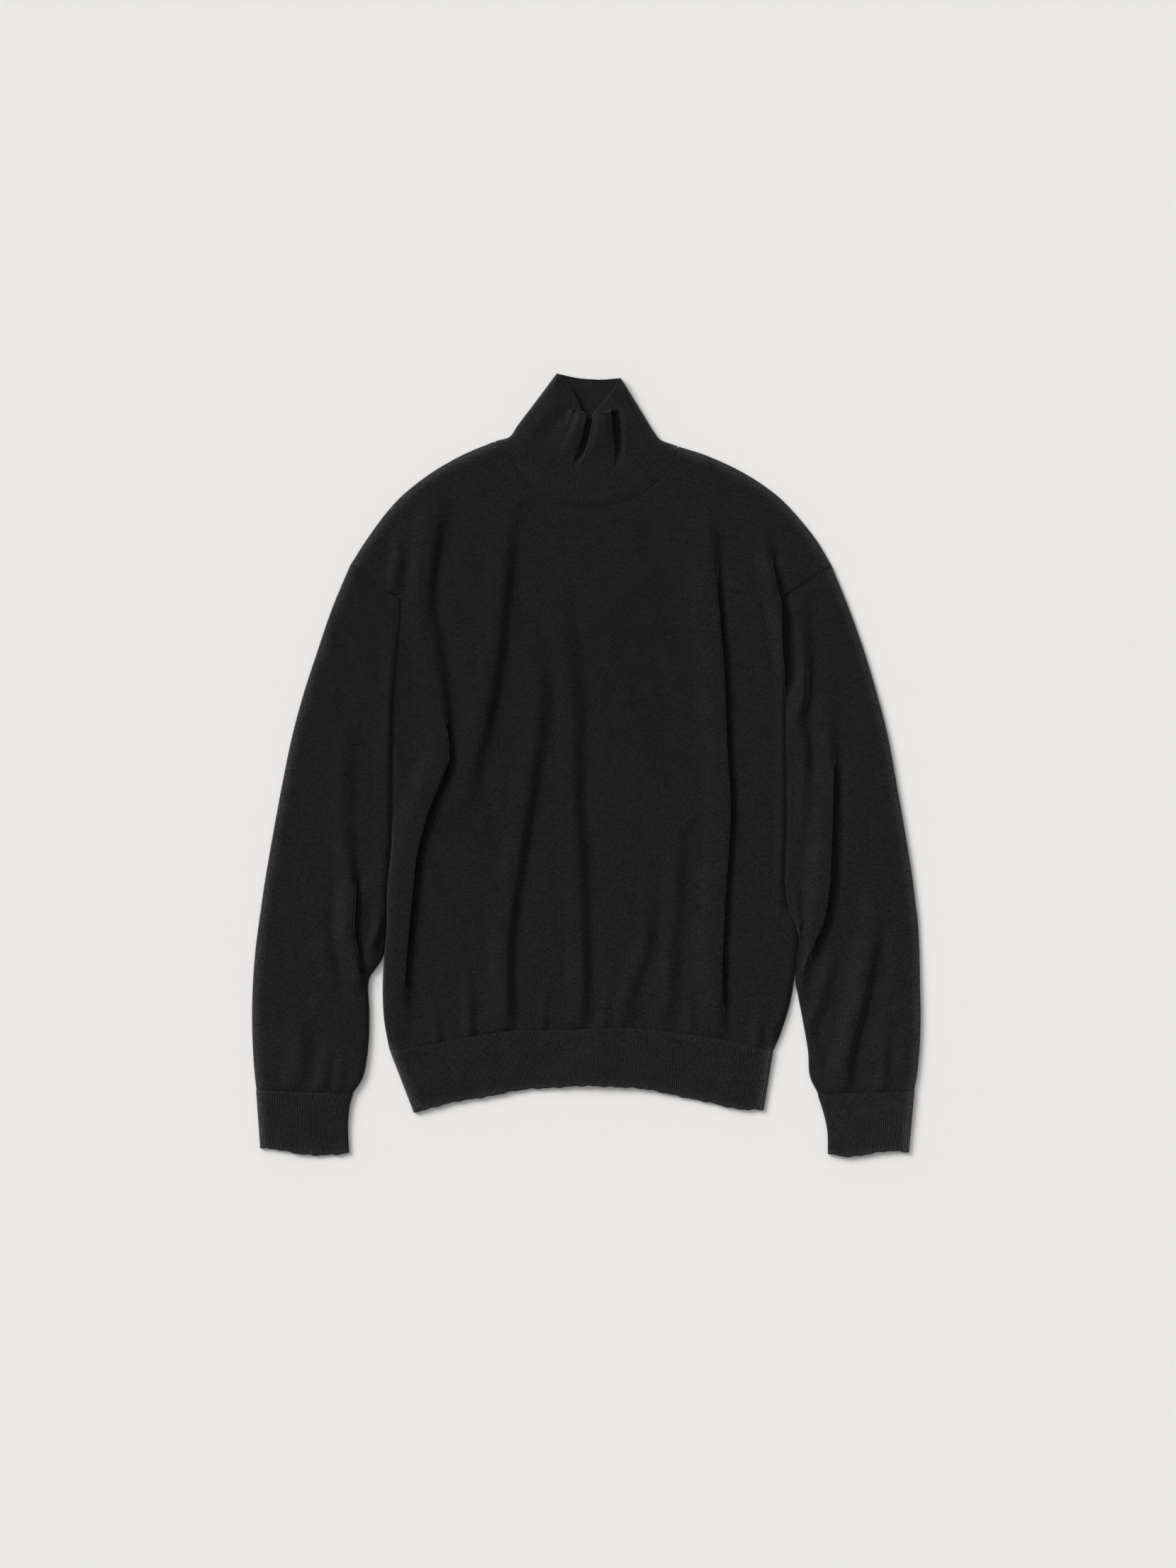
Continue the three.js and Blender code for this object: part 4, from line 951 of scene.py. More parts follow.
class FlatTube:
    """A knitted tube pressed flat. plan gives places on the upper or lower layer, top the upper
    layer's height and lean, radius is that of its side edges. Round it, 0 to 1 crosses the upper
    layer and 1 to 2 comes back under it."""

    def __init__(self, plan, top, radius):
        self.plan, self.top, self.radius = plan, top, radius

    def points(self, t, c):
        t, c = np.broadcast_arrays(t[:, None], c[None, :])
        lower = c > 1
        p = np.where(lower, 2 - c, c)
        radius = self.radius
        ends = self.plan(t, np.ones_like(t), False) - self.plan(t, np.zeros_like(t), False)
        width = np.linalg.norm(ends, axis=-1)
        near = np.minimum(p, 1 - p)
        angle = math.pi / 2 * np.minimum(near / EDGE_SHARE, 1)
        inset = (1 - np.cos(angle)) * radius / width
        inside = lerp(radius / width, 1 - radius / width, (p - EDGE_SHARE) / (1 - 2 * EDGE_SHARE))
        s = np.where(near < EDGE_SHARE, np.where(p < 0.5, inset, 1 - inset), inside)
        upper_plan, lower_plan = self.plan(t, s, False), self.plan(t, s, True)
        place = np.where(lower[..., None], lower_plan, upper_plan)
        rise = np.sin(angle)
        height, lean = self.top(place[..., 0], place[..., 1], t, s)
        z = np.where(lower, radius * (1 - rise), radius + rise * (height - radius))
        x = place[..., 0] + np.where(lower, 0, lean * rise)
        return np.stack([x, place[..., 1], z], -1), s

    def shell(self, name, finish, outer, inner, relief, cloth, turn, lining=None):
        """outer and inner give both faces' rows and columns. relief raises the outer face and
        lining the inner one; cloth gives the cloth's own coordinates; turn is 1 where rows run up
        the garment and -1 where they run down."""
        wall = settings().knit.wall / MM
        made = Shell()
        grids = []
        for (t, c), inside in ((outer, False), (inner, True)):
            points, s = self.points(t, c)
            out = turn * self.square(points)
            rows_and_columns = t[:, None], c[None, :], points
            raised = -wall if inside else relief(*rows_and_columns)
            if inside and lining is not None:
                raised = raised - lining(*rows_and_columns)
            coordinates = cloth(t[:, None], s, c[None, :], points)
            points = points + out * np.broadcast_to(raised, s.shape)[..., None]
            if not inside:
                points[..., 2] = np.maximum(points[..., 2], 0)
            numbers = made.add(points, coordinates)
            made.skin(numbers, closed=True, inwards=(turn < 0) != inside)
            grids.append(numbers)
        for row in (0, -1):
            flipped = (turn < 0) != (row == -1)
            made.band(grids[0][row], outer[1], grids[1][row], inner[1], flipped)
        return made.make(name, finish)

    @staticmethod
    def square(points):
        """Directions square to the rings' own upright planes, so that a ring stays on its seam."""
        ring = np.concatenate([points[:, -1:], points, points[:, :1]], 1)
        across = np.gradient(ring, axis=1)[:, 1:-1]
        along = np.gradient(points, axis=0)
        along[..., 2] = 0
        return unit(np.cross(across, along))


def tube_grid(rows, over, under, dense, edge=EDGE_COLUMNS):
    """Places along a flat tube and round it: over its upper layer, under it and at both edges."""
    turn = np.linspace(0, EDGE_SHARE, edge, endpoint=False)
    upper_inside = np.linspace(EDGE_SHARE, 1 - EDGE_SHARE, over)
    lower_inside = np.linspace(1 + EDGE_SHARE, 2 - EDGE_SHARE, under)
    return spaced(rows, dense), np.concatenate([
        turn, upper_inside, 1 - EDGE_SHARE + turn[1:], 1 + turn, lower_inside,
        2 - EDGE_SHARE + turn[1:],
    ])


# Materials

class Wire:
    """One output of a material's nodes. Sums written with it add the Math nodes for them."""

    def __init__(self, finish, socket):
        self.finish, self.socket = finish, socket

    def math(self, operation, *others):
        sockets = dict(enumerate([self, *others]))
        return self.finish.node("ShaderNodeMath", {"operation": operation}, sockets)

    def __add__(self, other):
        return self.math("ADD", other)

    def __sub__(self, other):
        return self.math("SUBTRACT", other)

    def __rsub__(self, other):
        return (self * -1).math("ADD", other)

    def __mul__(self, other):
        return self.math("MULTIPLY", other)

    def __truediv__(self, other):
        return self.math("DIVIDE", other)

    def __abs__(self):
        return self.math("ABSOLUTE")

    __radd__ = __add__
    __rmul__ = __mul__

    def fraction(self):
        return self.math("FRACT")

    def cosine(self):
        return self.math("COSINE")

    def sine(self):
        return self.math("SINE")

    def eased(self, low, high):
        """0 below low and 1 above high, smoothly between."""
        ranges = {"Value": self, "From Min": low, "From Max": high}
        return self.finish.node("ShaderNodeMapRange", {"interpolation_type": "SMOOTHSTEP"}, ranges)


class Finish:
    """A material whose nodes are added by kind, settings and sockets."""

    def __init__(self, name):
        self.material = bpy.data.materials.new(name)
        self.material.use_nodes = True
        self.nodes = self.material.node_tree.nodes
        self.links = self.material.node_tree.links
        self.nodes.clear()

    def node(self, kind, settings=None, inputs=None, output=0):
        """Adds a node: its settings first, then the values or links of its sockets."""
        made = self.nodes.new(kind)
        for name, value in (settings or {}).items():
            setattr(made, name, value)
        for name, value in (inputs or {}).items():
            if isinstance(value, Wire):
                self.links.new(value.socket, made.inputs[name])
            else:
                made.inputs[name].default_value = value
        return Wire(self, made.outputs[output]) if len(made.outputs) else None

    def mix(self, factor, first, second):
        """A colour between two colours."""
        sockets = {0: factor, 6: first, 7: second}
        return self.node("ShaderNodeMix", {"data_type": "RGBA"}, sockets, output=2)

    def coordinates(self, name):
        """Both numbers of a UV layer, in metres: across and along the wales for cloth."""
        layer = self.node("ShaderNodeUVMap", {"uv_map": name})
        across = self.node("ShaderNodeSeparateXYZ", None, {"Vector": layer})
        return across, Wire(self, across.socket.node.outputs["Y"])

    def noise(self, size, detail, stretch=None):
        """Soft noise with spots of about that size, drawn out along the cloth by stretch."""
        if stretch is None:
            place = self.node("ShaderNodeTexCoord", output="Object")
        else:
            cloth = self.node("ShaderNodeUVMap", {"uv_map": "cloth"})
            sockets = {0: cloth, 1: (1, 1 / stretch, 1)}
            place = self.node("ShaderNodeVectorMath", {"operation": "MULTIPLY"}, sockets)
        sockets = {"Scale": 1 / size, "Detail": detail, "Roughness": NOISE_ROUGHNESS}
        return self.node("ShaderNodeTexNoise", None, {"Vector": place, **sockets})

    def surface(self, colour, roughness, normal, sheen):
        shader = self.node("ShaderNodeBsdfPrincipled", None, {
            "Base Color": colour, "Roughness": roughness, "Normal": normal, "Sheen Weight": sheen,
            **YARN_GLOSS,
        })
        self.node("ShaderNodeOutputMaterial", None, {"Surface": shader})
        return self.material


def shade(colour, factor):
    return (*[c * factor for c in colour], 1)


def tinted(colour, tint):
    return (*[c * t for c, t in zip(colour, tint)], 1)


def knit_finish(name, colour, wale, course, rib):
    """Fine knit: legs of stitches in columns, mottled yarn, loose fibres and a soft nap, with
    painted light towards the hem and cuffs and painted sheen at the outer edges in its colour.
    """
    chosen = settings()
    finish = Finish(name)
    across, up = finish.coordinates("cloth")
    from_middle = abs((across / wale).fraction() - 0.5)
    if rib:
        leg = (from_middle * math.pi).cosine()
    else:
        leg = (from_middle * 2 * math.pi).sine()
    stitch = ((up / course - from_middle * STITCH_SLANT) * (2 * math.pi)).cosine() * 0.5 + 0.5
    strands = finish.noise(SPOTS["strand"]["size"], 3)
    flecks = finish.noise(SPOTS["fleck"]["size"], 2, SPOTS["fleck"]["stretch"])
    tufts = finish.noise(SPOTS["tuft"]["size"], 3)
    clouds = finish.noise(SPOTS["cloud"]["size"], 3)
    hues = finish.noise(SPOTS["hue"]["size"], 1)
    height = leg * (stitch * STITCH_WAIST + (1 - STITCH_WAIST)) * STITCH_HEIGHT
    for spots, name in ((strands, "strand"), (tufts, "tuft"), (clouds, "cloud")):
        height = height + spots * SPOTS[name]["height"]
    bump = finish.node("ShaderNodeBump", None, {
        "Height": height, "Strength": KNIT_BUMP, "Distance": chosen.knit.relief,
    })
    pale_flecks = flecks.eased(*SPOTS["fleck"]["levels"])
    pale_strands = strands.eased(*SPOTS["strand"]["levels"])
    mottle = pale_flecks * 0.5 + pale_strands * 0.5
    worn = mottle * MOTTLE_SHARE
    for spots, name in ((tufts, "tuft"), (clouds, "cloud")):
        worn = worn + spots.eased(*SPOTS[name]["levels"]) * SPOTS[name]["shade"]
    spread = chosen.yarn.mottle
    dark, light = shade(colour, 1 - spread), shade(colour, 1 + spread)
    tints = tinted(light, WARM_FLECK), tinted(light, COOL_FLECK)
    colour = finish.mix(worn, dark, finish.mix(hues.eased(*SPOTS["hue"]["levels"]), *tints))

    # Painted light: the colour grows paler away from a spot on the chest, towards the cuffs and the
    # hem
    place = finish.node("ShaderNodeTexCoord", output="Object")
    sockets = {0: place, 1: (*(MM * c for c in PAINTED_LIGHT_CENTRE), 0)}
    away = finish.node("ShaderNodeVectorMath", {"operation": "DISTANCE"}, sockets, output="Value")
    # Painted sheen: the colour is paler near the garment's outer edges
    painted_sheen_edge = 1 - finish.coordinates("edge")[0].eased(0, PAINTED_SHEEN_REACH * MM)
    painted_light_and_sheen = (away * PAINTED_LIGHT_RATE + PAINTED_LIGHT_START) * (painted_sheen_edge * painted_sheen_edge * PAINTED_SHEEN_PALE + 1)
    sockets = {0: colour, "Scale": painted_light_and_sheen}
    colour = finish.node("ShaderNodeVectorMath", {"operation": "SCALE"}, sockets)
    roughness = KNIT_ROUGHNESS[0] + mottle * KNIT_ROUGHNESS[1]
    return finish.surface(colour, roughness, bump, chosen.yarn.nap)


def thread_finish(name, colour, sheen):
    """Thread and loose fibre: one yarn colour with slight mottling."""
    finish = Finish(name)
    spots = finish.noise(THREAD_SPOTS["size"], 2)
    shades = (shade(colour, factor) for factor in THREAD_SPOTS["shades"])
    mixed = finish.mix(spots.eased(*THREAD_SPOTS["levels"]), *shades)
    bump = finish.node("ShaderNodeBump", None, {"Height": spots, **THREAD_BUMP})
    roughness = THREAD_ROUGHNESS[0] + spots * THREAD_ROUGHNESS[1]
    return finish.surface(mixed, roughness, bump, sheen)


def finish_named(name):
    """Each material is made once, when the first piece asks for it."""
    found = bpy.data.materials.get(name)
    if found is not None:
        return found
    knit, yarn = settings().knit, settings().yarn
    if name == "plain_knit":
        return knit_finish(name, yarn.jersey, knit.wale, knit.course, rib=False)
    if name == "rib_knit":
        return knit_finish(name, yarn.ribbing, RIB_PITCH * MM, knit.course, rib=True)
    if name == "linking_yarn":
        return thread_finish(name, yarn.ribbing, THREAD_NAP)
    if name == "loose_fibre":
        return thread_finish(name, [FIBRE_PALE * c for c in yarn.ribbing], FIBRE_NAP)
    raise ValueError(f"no finish is named {name}")


# The cut's lines

neckline = Curve(NECKLINE)
shoulder_left, shoulder_right = Curve(SHOULDER_LEFT), Curve(SHOULDER_RIGHT)
armhole_left, armhole_right = Curve(ARMHOLE_LEFT), Curve(ARMHOLE_RIGHT)
side_left, side_right = Curve(SIDE_LEFT), Curve(SIDE_RIGHT)
hem_seam, hem_edge = Curve(HEM_SEAM), Curve(HEM_EDGE)
back_neck = Curve(BACK_NECK)
collar_left, collar_right = Curve(COLLAR_LEFT), Curve(COLLAR_RIGHT)
cuff_left_edge, cuff_right_edge = Curve(CUFF_LEFT_EDGE), Curve(CUFF_RIGHT_EDGE)
sleeve_left_edge = Curve([row["outer"] for row in SLEEVE_LEFT_ROWS])
sleeve_right_edge = Curve([row["outer"] for row in SLEEVE_RIGHT_ROWS])

# The ribbed bands' edges count as a little further out than they are, so they get less painted
# sheen
BAND_OUT = 4
COLLAR_UP = 3


def garment_outline():
    """Places about a millimetre apart along the garment's outer edges."""
    edges = [
        shoulder_left, shoulder_right, sleeve_left_edge, sleeve_right_edge,
        moved(collar_left, -BAND_OUT, COLLAR_UP), moved(collar_right, BAND_OUT, COLLAR_UP),
        *(moved(edge, 0, -BAND_OUT) for edge in (hem_edge, cuff_left_edge, cuff_right_edge)),
        straight(SLEEVE_LEFT_ROWS[-1]["outer"], CUFF_LEFT_EDGE[0]),
        straight(SLEEVE_RIGHT_ROWS[-1]["outer"], CUFF_RIGHT_EDGE[-1]),
        straight(HEM_SEAM[0], HEM_EDGE[0]), straight(HEM_SEAM[-1], HEM_EDGE[-1]),
    ]
    return np.concatenate([edge(np.linspace(0, 1, int(line_length(edge)))) for edge in edges])


def from_outline(places):
    """How far each place is from the garment's outer edges, in millimetres."""
    outline = garment_outline()
    tree = KDTree(len(outline))
    for number, (x, y) in enumerate(outline):
        tree.insert((x, y, 0), number)
    tree.balance()
    return np.array([tree.find((x, y, 0))[2] for x, y in places.tolist()])


def shoulders_and(neck):
    """The panel's upper edge: left shoulder, neck, right shoulder."""
    first, last = NECK_SHARES

    def line(t):
        t = np.asarray(t, float)
        middle = neck((t - first) / (last - first))
        places = np.where((t < first)[..., None], shoulder_left(t / first), middle)
        return np.where((t > last)[..., None], shoulder_right((t - last) / (1 - last)), places)

    return line


def dense_columns(surface, v, count, folds):
    """Shares across each row, closer together at the folds and the side edges."""
    fine = np.linspace(0, 1, FINE_STEPS)
    columns = np.empty((len(v), count))
    lines = [
        (UprightLine(fold["line"]), *(NEAR_GROOVE if "groove" in fold else NEAR_FOLD))
        for fold in folds
    ]
    for j, row in enumerate(v):
        x, y = surface(fine, np.full_like(fine, row)).T
        density = np.ones_like(x)
        places = [(line(y), near, more) for line, near, more in lines]
        for place, near, more in [*places, (x[0], *NEAR_FOLD), (x[-1], *NEAR_FOLD)]:
            density += more * np.exp(-(((x - place) / near) ** 2))
        reach = np.concatenate([[0], np.cumsum(density[1:] + density[:-1])])
        columns[j] = np.interp(np.linspace(0, 1, count), reach / reach[-1], fine)
    return columns


def crevice(side, kind, y):
    """A value of the crevice between the body and a sleeve, at each height up the garment."""
    heights, values = np.array(CREVICES[side][kind], float).T
    return np.interp(y, heights, values)


def front_panel():
    """The front: rolled at its sides and shoulders, sunk at its seams, with its folds."""
    surface = patch(
        moved(hem_seam, 0, SEAM_INSET),
        shoulders_and(off_seam(neckline, NECK_CENTRE, SEAM_INSET)),
        joined(side_left, armhole_left, UNDERARM_SHARE),
        joined(side_right, armhole_right, UNDERARM_SHARE),
    )
    v = spaced(FRONT_GRID["rows"], FRONT_GRID["dense"])
    s = dense_columns(surface, v, FRONT_GRID["columns"], FRONT_FOLDS)
    v = np.broadcast_to(v[:, None], s.shape)
    place = surface(s, v)
    x, y = place[..., 0], place[..., 1]
    side = surface(np.where(s < 0.5, 0.0, 1.0), v)
    top_edge = surface(s, np.ones_like(v))
    roll, depth = (
        np.where(s < 0.5, crevice("left", kind, y), crevice("right", kind, y))
        for kind in ("body", "depth")
    )
    from_side = lerp(1, round_edge(np.linalg.norm(place - side, axis=-1), roll), depth)
    from_neck = np.linalg.norm(place - top_edge, axis=-1)
    from_top = round_edge(from_neck, SIDE_ROLL)
    from_hem = round_edge(v * SIDE_LENGTH, SEAM_RISE)
    on_armhole = smooth(v, *UNDERARM_FADE)
    start, end = (smooth(s, share - NECK_FADE, share + NECK_FADE) for share in NECK_SHARES)
    on_neck = start * (1 - end)
    rolled = lerp(from_side, 1, on_armhole) * lerp(from_top, 1, on_neck)
    lifted = lerp(1, from_side, on_armhole) * lerp(1, from_top, on_neck) * from_hem
    height, lean = fold_moves([*FRONT_FOLDS, *HEM_PUCKERS], x, y)
    full = BODY_TOP - SEAM_TOP + height + unevenness(x, y)
    to_collar = lerp(1, smooth(from_neck, 0, NECK_RISE), on_neck)
    full = lerp(NECK_EDGE_TOP - SEAM_TOP, full, to_collar)
    z = FRONT_FLOOR + rolled * (SEAM_TOP - FRONT_FLOOR + full * lifted)
    outer = np.stack([x + lean * lifted * rolled, y, z], -1)
    inner = outer - settings().knit.wall / MM * normals(outer)
    inner[..., 2] = np.maximum(inner[..., 2], FRONT_FLOOR)
    knit = finish_named("plain_knit")
    return panel("front_cloth", outer, inner, place, FRONT_GRID["coarse"], knit)


def back_panel():
    """The back: flat cloth under the front, to the same outline with a shallow neck."""
    neck = moved(back_neck, 0, -3 * SEAM_INSET)
    surface = patch(
        moved(hem_seam, 0, SEAM_INSET),
        shoulders_and(neck),
        joined(side_left, straight(ARMHOLE_LEFT[0], ARMHOLE_LEFT[-1]), UNDERARM_SHARE),
        joined(side_right, straight(ARMHOLE_RIGHT[0], ARMHOLE_RIGHT[-1]), UNDERARM_SHARE),
    )
    s, v = np.meshgrid(*(spaced(BACK_GRID[way], BACK_GRID["dense"]) for way in ("columns", "rows")))
    place = surface(s, v)
    sides = smooth(s, COVER_START, 1) - smooth(1 - s, COVER_START, 1)
    cover = SLOT_COVER * sides * (1 - smooth(v, COVER_START, 1))
    place = place + np.stack([cover, np.zeros_like(cover)], -1)
    from_side = np.minimum(s, 1 - s) * BACK_WIDTH
    from_end = np.minimum(v, 1 - v) * SIDE_LENGTH
    edge = round_edge(np.minimum(from_side, from_end), BACK_EDGE["radius"])
    lift = BACK_EDGE["lift"] * (1 - edge)
    upper = np.concatenate([place, (BACK_TOP - lift)[..., None]], -1)
    lower = np.concatenate([place, lift[..., None]], -1)
    return panel("back_cloth", upper, lower, place, 1, finish_named("plain_knit"))


def sleeve(name, rows, folds, armhole, to_inner):
    """A sleeve from its armhole seam to its cuff seam; to_inner is 1 where the body is on its
    right and -1 where it is on its left."""
    outer, inner = (Curve([row[edge] for row in rows]) for edge in ("outer", "inner"))
    side, body_side = ("left", side_left) if to_inner > 0 else ("right", side_right)

    def beside_body(t):
        """The inner edge, which lies against the body's side down to where it parts from it."""
        x, y = np.moveaxis(inner(t), -1, 0)
        beside = np.interp(y, body_side.points[:, 1], body_side.points[:, 0]) - to_inner * SEAM_GAP
        return np.stack([lerp(x, beside, smooth(y, *CREVICES[side]["parting"])), y], -1)

    left, right = (outer, beside_body) if to_inner > 0 else (beside_body, outer)
    head = backwards(armhole) if to_inner > 0 else armhole
    head_ends = head(0.0), head(1.0)

    def plan(t, s, lower):
        share = s[..., None]
        across = lerp(left(t), right(t), share)
        from_straight = lerp(left(0.0), right(0.0), share)
        seam = lerp(*head_ends, share) if lower else head(s)
        near = 1 - smooth(t, 0, HEAD_FADE / SLEEVE_LENGTH)[..., None]
        off = HEAD_CLEAR * lerp(HEAD_TIP, 1, np.minimum(4 * np.minimum(share, 1 - share), 1))
        return across + (seam - from_straight - off * np.array([to_inner, 1])) * near

    def top(x, y, t, s):
        near = smooth(t * SLEEVE_LENGTH, 0, NECK_RISE)
        near = near * round_edge((1 - t) * SLEEVE_LENGTH, SEAM_RISE)
        height, lean = fold_moves(folds, x, y)
        uneven = unevenness(x + SLEEVE_ASIDE, y)
        full = SEAM_TOP + near * (SLEEVE_TOP - SEAM_TOP + height + uneven)
        width = np.linalg.norm(right(t) - left(t), axis=-1)
        outwards, inwards = (s, 1 - s) if to_inner > 0 else (1 - s, s)
        roll, depth, hollow = (crevice(side, kind, y) for kind in ("sleeve", "depth", "hollow"))
        from_edge = inwards * width
        from_body = lerp(round_edge(from_edge, roll), smooth(from_edge, HOLLOW_FLOOR, roll), hollow)
        depth = np.maximum(depth, 1 - smooth(y, *CREVICES[side]["parting"]))
        rolled = round_edge(outwards * width, SIDE_ROLL) * lerp(1, from_body, depth)
        edge = lerp(SLEEVE_SIDE_TOP, HOLLOW_TOP, hollow * inwards)
        return lerp(edge, full, rolled), lean * near * rolled

    def cloth(t, s, c, points):
        round_it = (s - 0.5) * SLEEVE_CLOTH * np.sign(1.5 - c)
        return np.stack(np.broadcast_arrays(round_it, -t * SLEEVE_LENGTH), -1)

    tube = FlatTube(plan, top, SIDE_RADIUS)
    return tube.shell(
        name, finish_named("plain_knit"), tube_grid(**SLEEVE_GRID),
        tube_grid(**SLEEVE_LINING, edge=LINING_EDGE_COLUMNS), lambda t, c, points: 0.0, cloth, -1,
    )


def rib_profile(phase):
    """Height share across ribs: broad rounded wales with narrow furrows between them."""
    return np.abs(np.sin(math.pi * phase)) ** RIB_ROUNDNESS


def swaying(x, waves):
    """Small waves of a band along its length."""
    return sum(height * np.sin(x / length + turn) for height, length, turn in waves)


def rib_band(name, surface, ribs, length, waves):
    """A band of 1x1 rib pressed flat, ribbed on both layers; waves lift its upper one."""
    def plan(t, s, lower):
        place = surface(s, t)
        x = place[..., 0]
        ragged = swaying(x, EDGE_WAVES) * smooth(t, RAGGED_FROM, 1)
        return place + np.stack([np.zeros_like(x), ragged], -1)

    def top(x, y, t, s):
        ends = surface(np.ones_like(t), t) - surface(np.zeros_like(t), t)
        from_side = round_edge(np.minimum(s, 1 - s) * np.linalg.norm(ends, axis=-1), BAND_ROLL)
        full = lerp(SEAM_TOP, BAND_EDGE_TOP, smooth(t, BAND_FALL_FROM, 1))
        full = full + waves(x) * smooth(t, *WAVES_GROW)
        full = full - BAND_LIP["drop"] * (1 - round_edge((1 - t) * length, BAND_LIP["radius"]))
        return lerp(2 * BAND_RADIUS, full, from_side), np.zeros_like(x)

    def rib_phase(c):
        p = np.where(c > 1, 2 - c, c)
        return (p - EDGE_SHARE) / (1 - 2 * EDGE_SHARE) * ribs

    def relief(t, c, points):
        grown = smooth(t, 0, BAND_RIBS_FROM)
        pressed = np.where(c > 1, PRESSED_RIB, 1)
        return settings().knit.rib_height / MM * rib_profile(rib_phase(c)) * grown * pressed

    def cloth(t, s, c, points):
        return np.stack(np.broadcast_arrays(rib_phase(c) * RIB_PITCH, -t * length), -1)

    steps, dense = ribs * BAND_GRID["rib_steps"] + 1, BAND_GRID["dense"]
    tube = FlatTube(plan, top, BAND_RADIUS)
    return tube.shell(
        name, finish_named("rib_knit"), tube_grid(BAND_GRID["rows"], steps, steps, dense),
        tube_grid(BAND_LINING_ROWS, ribs, ribs, dense, LINING_EDGE_COLUMNS), relief, cloth, -1,
    )


def hem_band():
    """The hem band, whose open edge lies in an arch."""
    seam = moved(hem_seam, 0, -SEAM_INSET)
    surface = patch(
        seam, hem_edge, straight(seam(0.0), hem_edge(0.0)), straight(seam(1.0), hem_edge(1.0))
    )

    def waves(x):
        arch = np.exp(-(((x - HEM_ARCH["at"]) / HEM_ARCH["half"]) ** 2))
        return swaying(x, HEM_WAVES) + HEM_ARCH["height"] * arch

    return rib_band("hem_cloth", surface, HEM_RIBS, HEM_LENGTH, waves)


def cuff(name, seam_ends, edge, side, on_left):
    """A cuff between its seam and its open edge; side is the line of its inner edge."""
    seam = moved(straight(*seam_ends), 0, -SEAM_GAP)
    inner = moved(Curve(side), 0, -SEAM_GAP)
    if on_left:
        surface = patch(seam, edge, straight(seam(0.0), edge(0.0)), inner)
    else:
        surface = patch(seam, edge, inner, straight(seam(1.0), edge(1.0)))

    lift = 0 if on_left else RIGHT_CUFF_LIFT
    return rib_band(
        name, surface, CUFF_RIBS, CUFF_LENGTH, lambda x: swaying(x, CUFF_WAVES) + lift,
    )


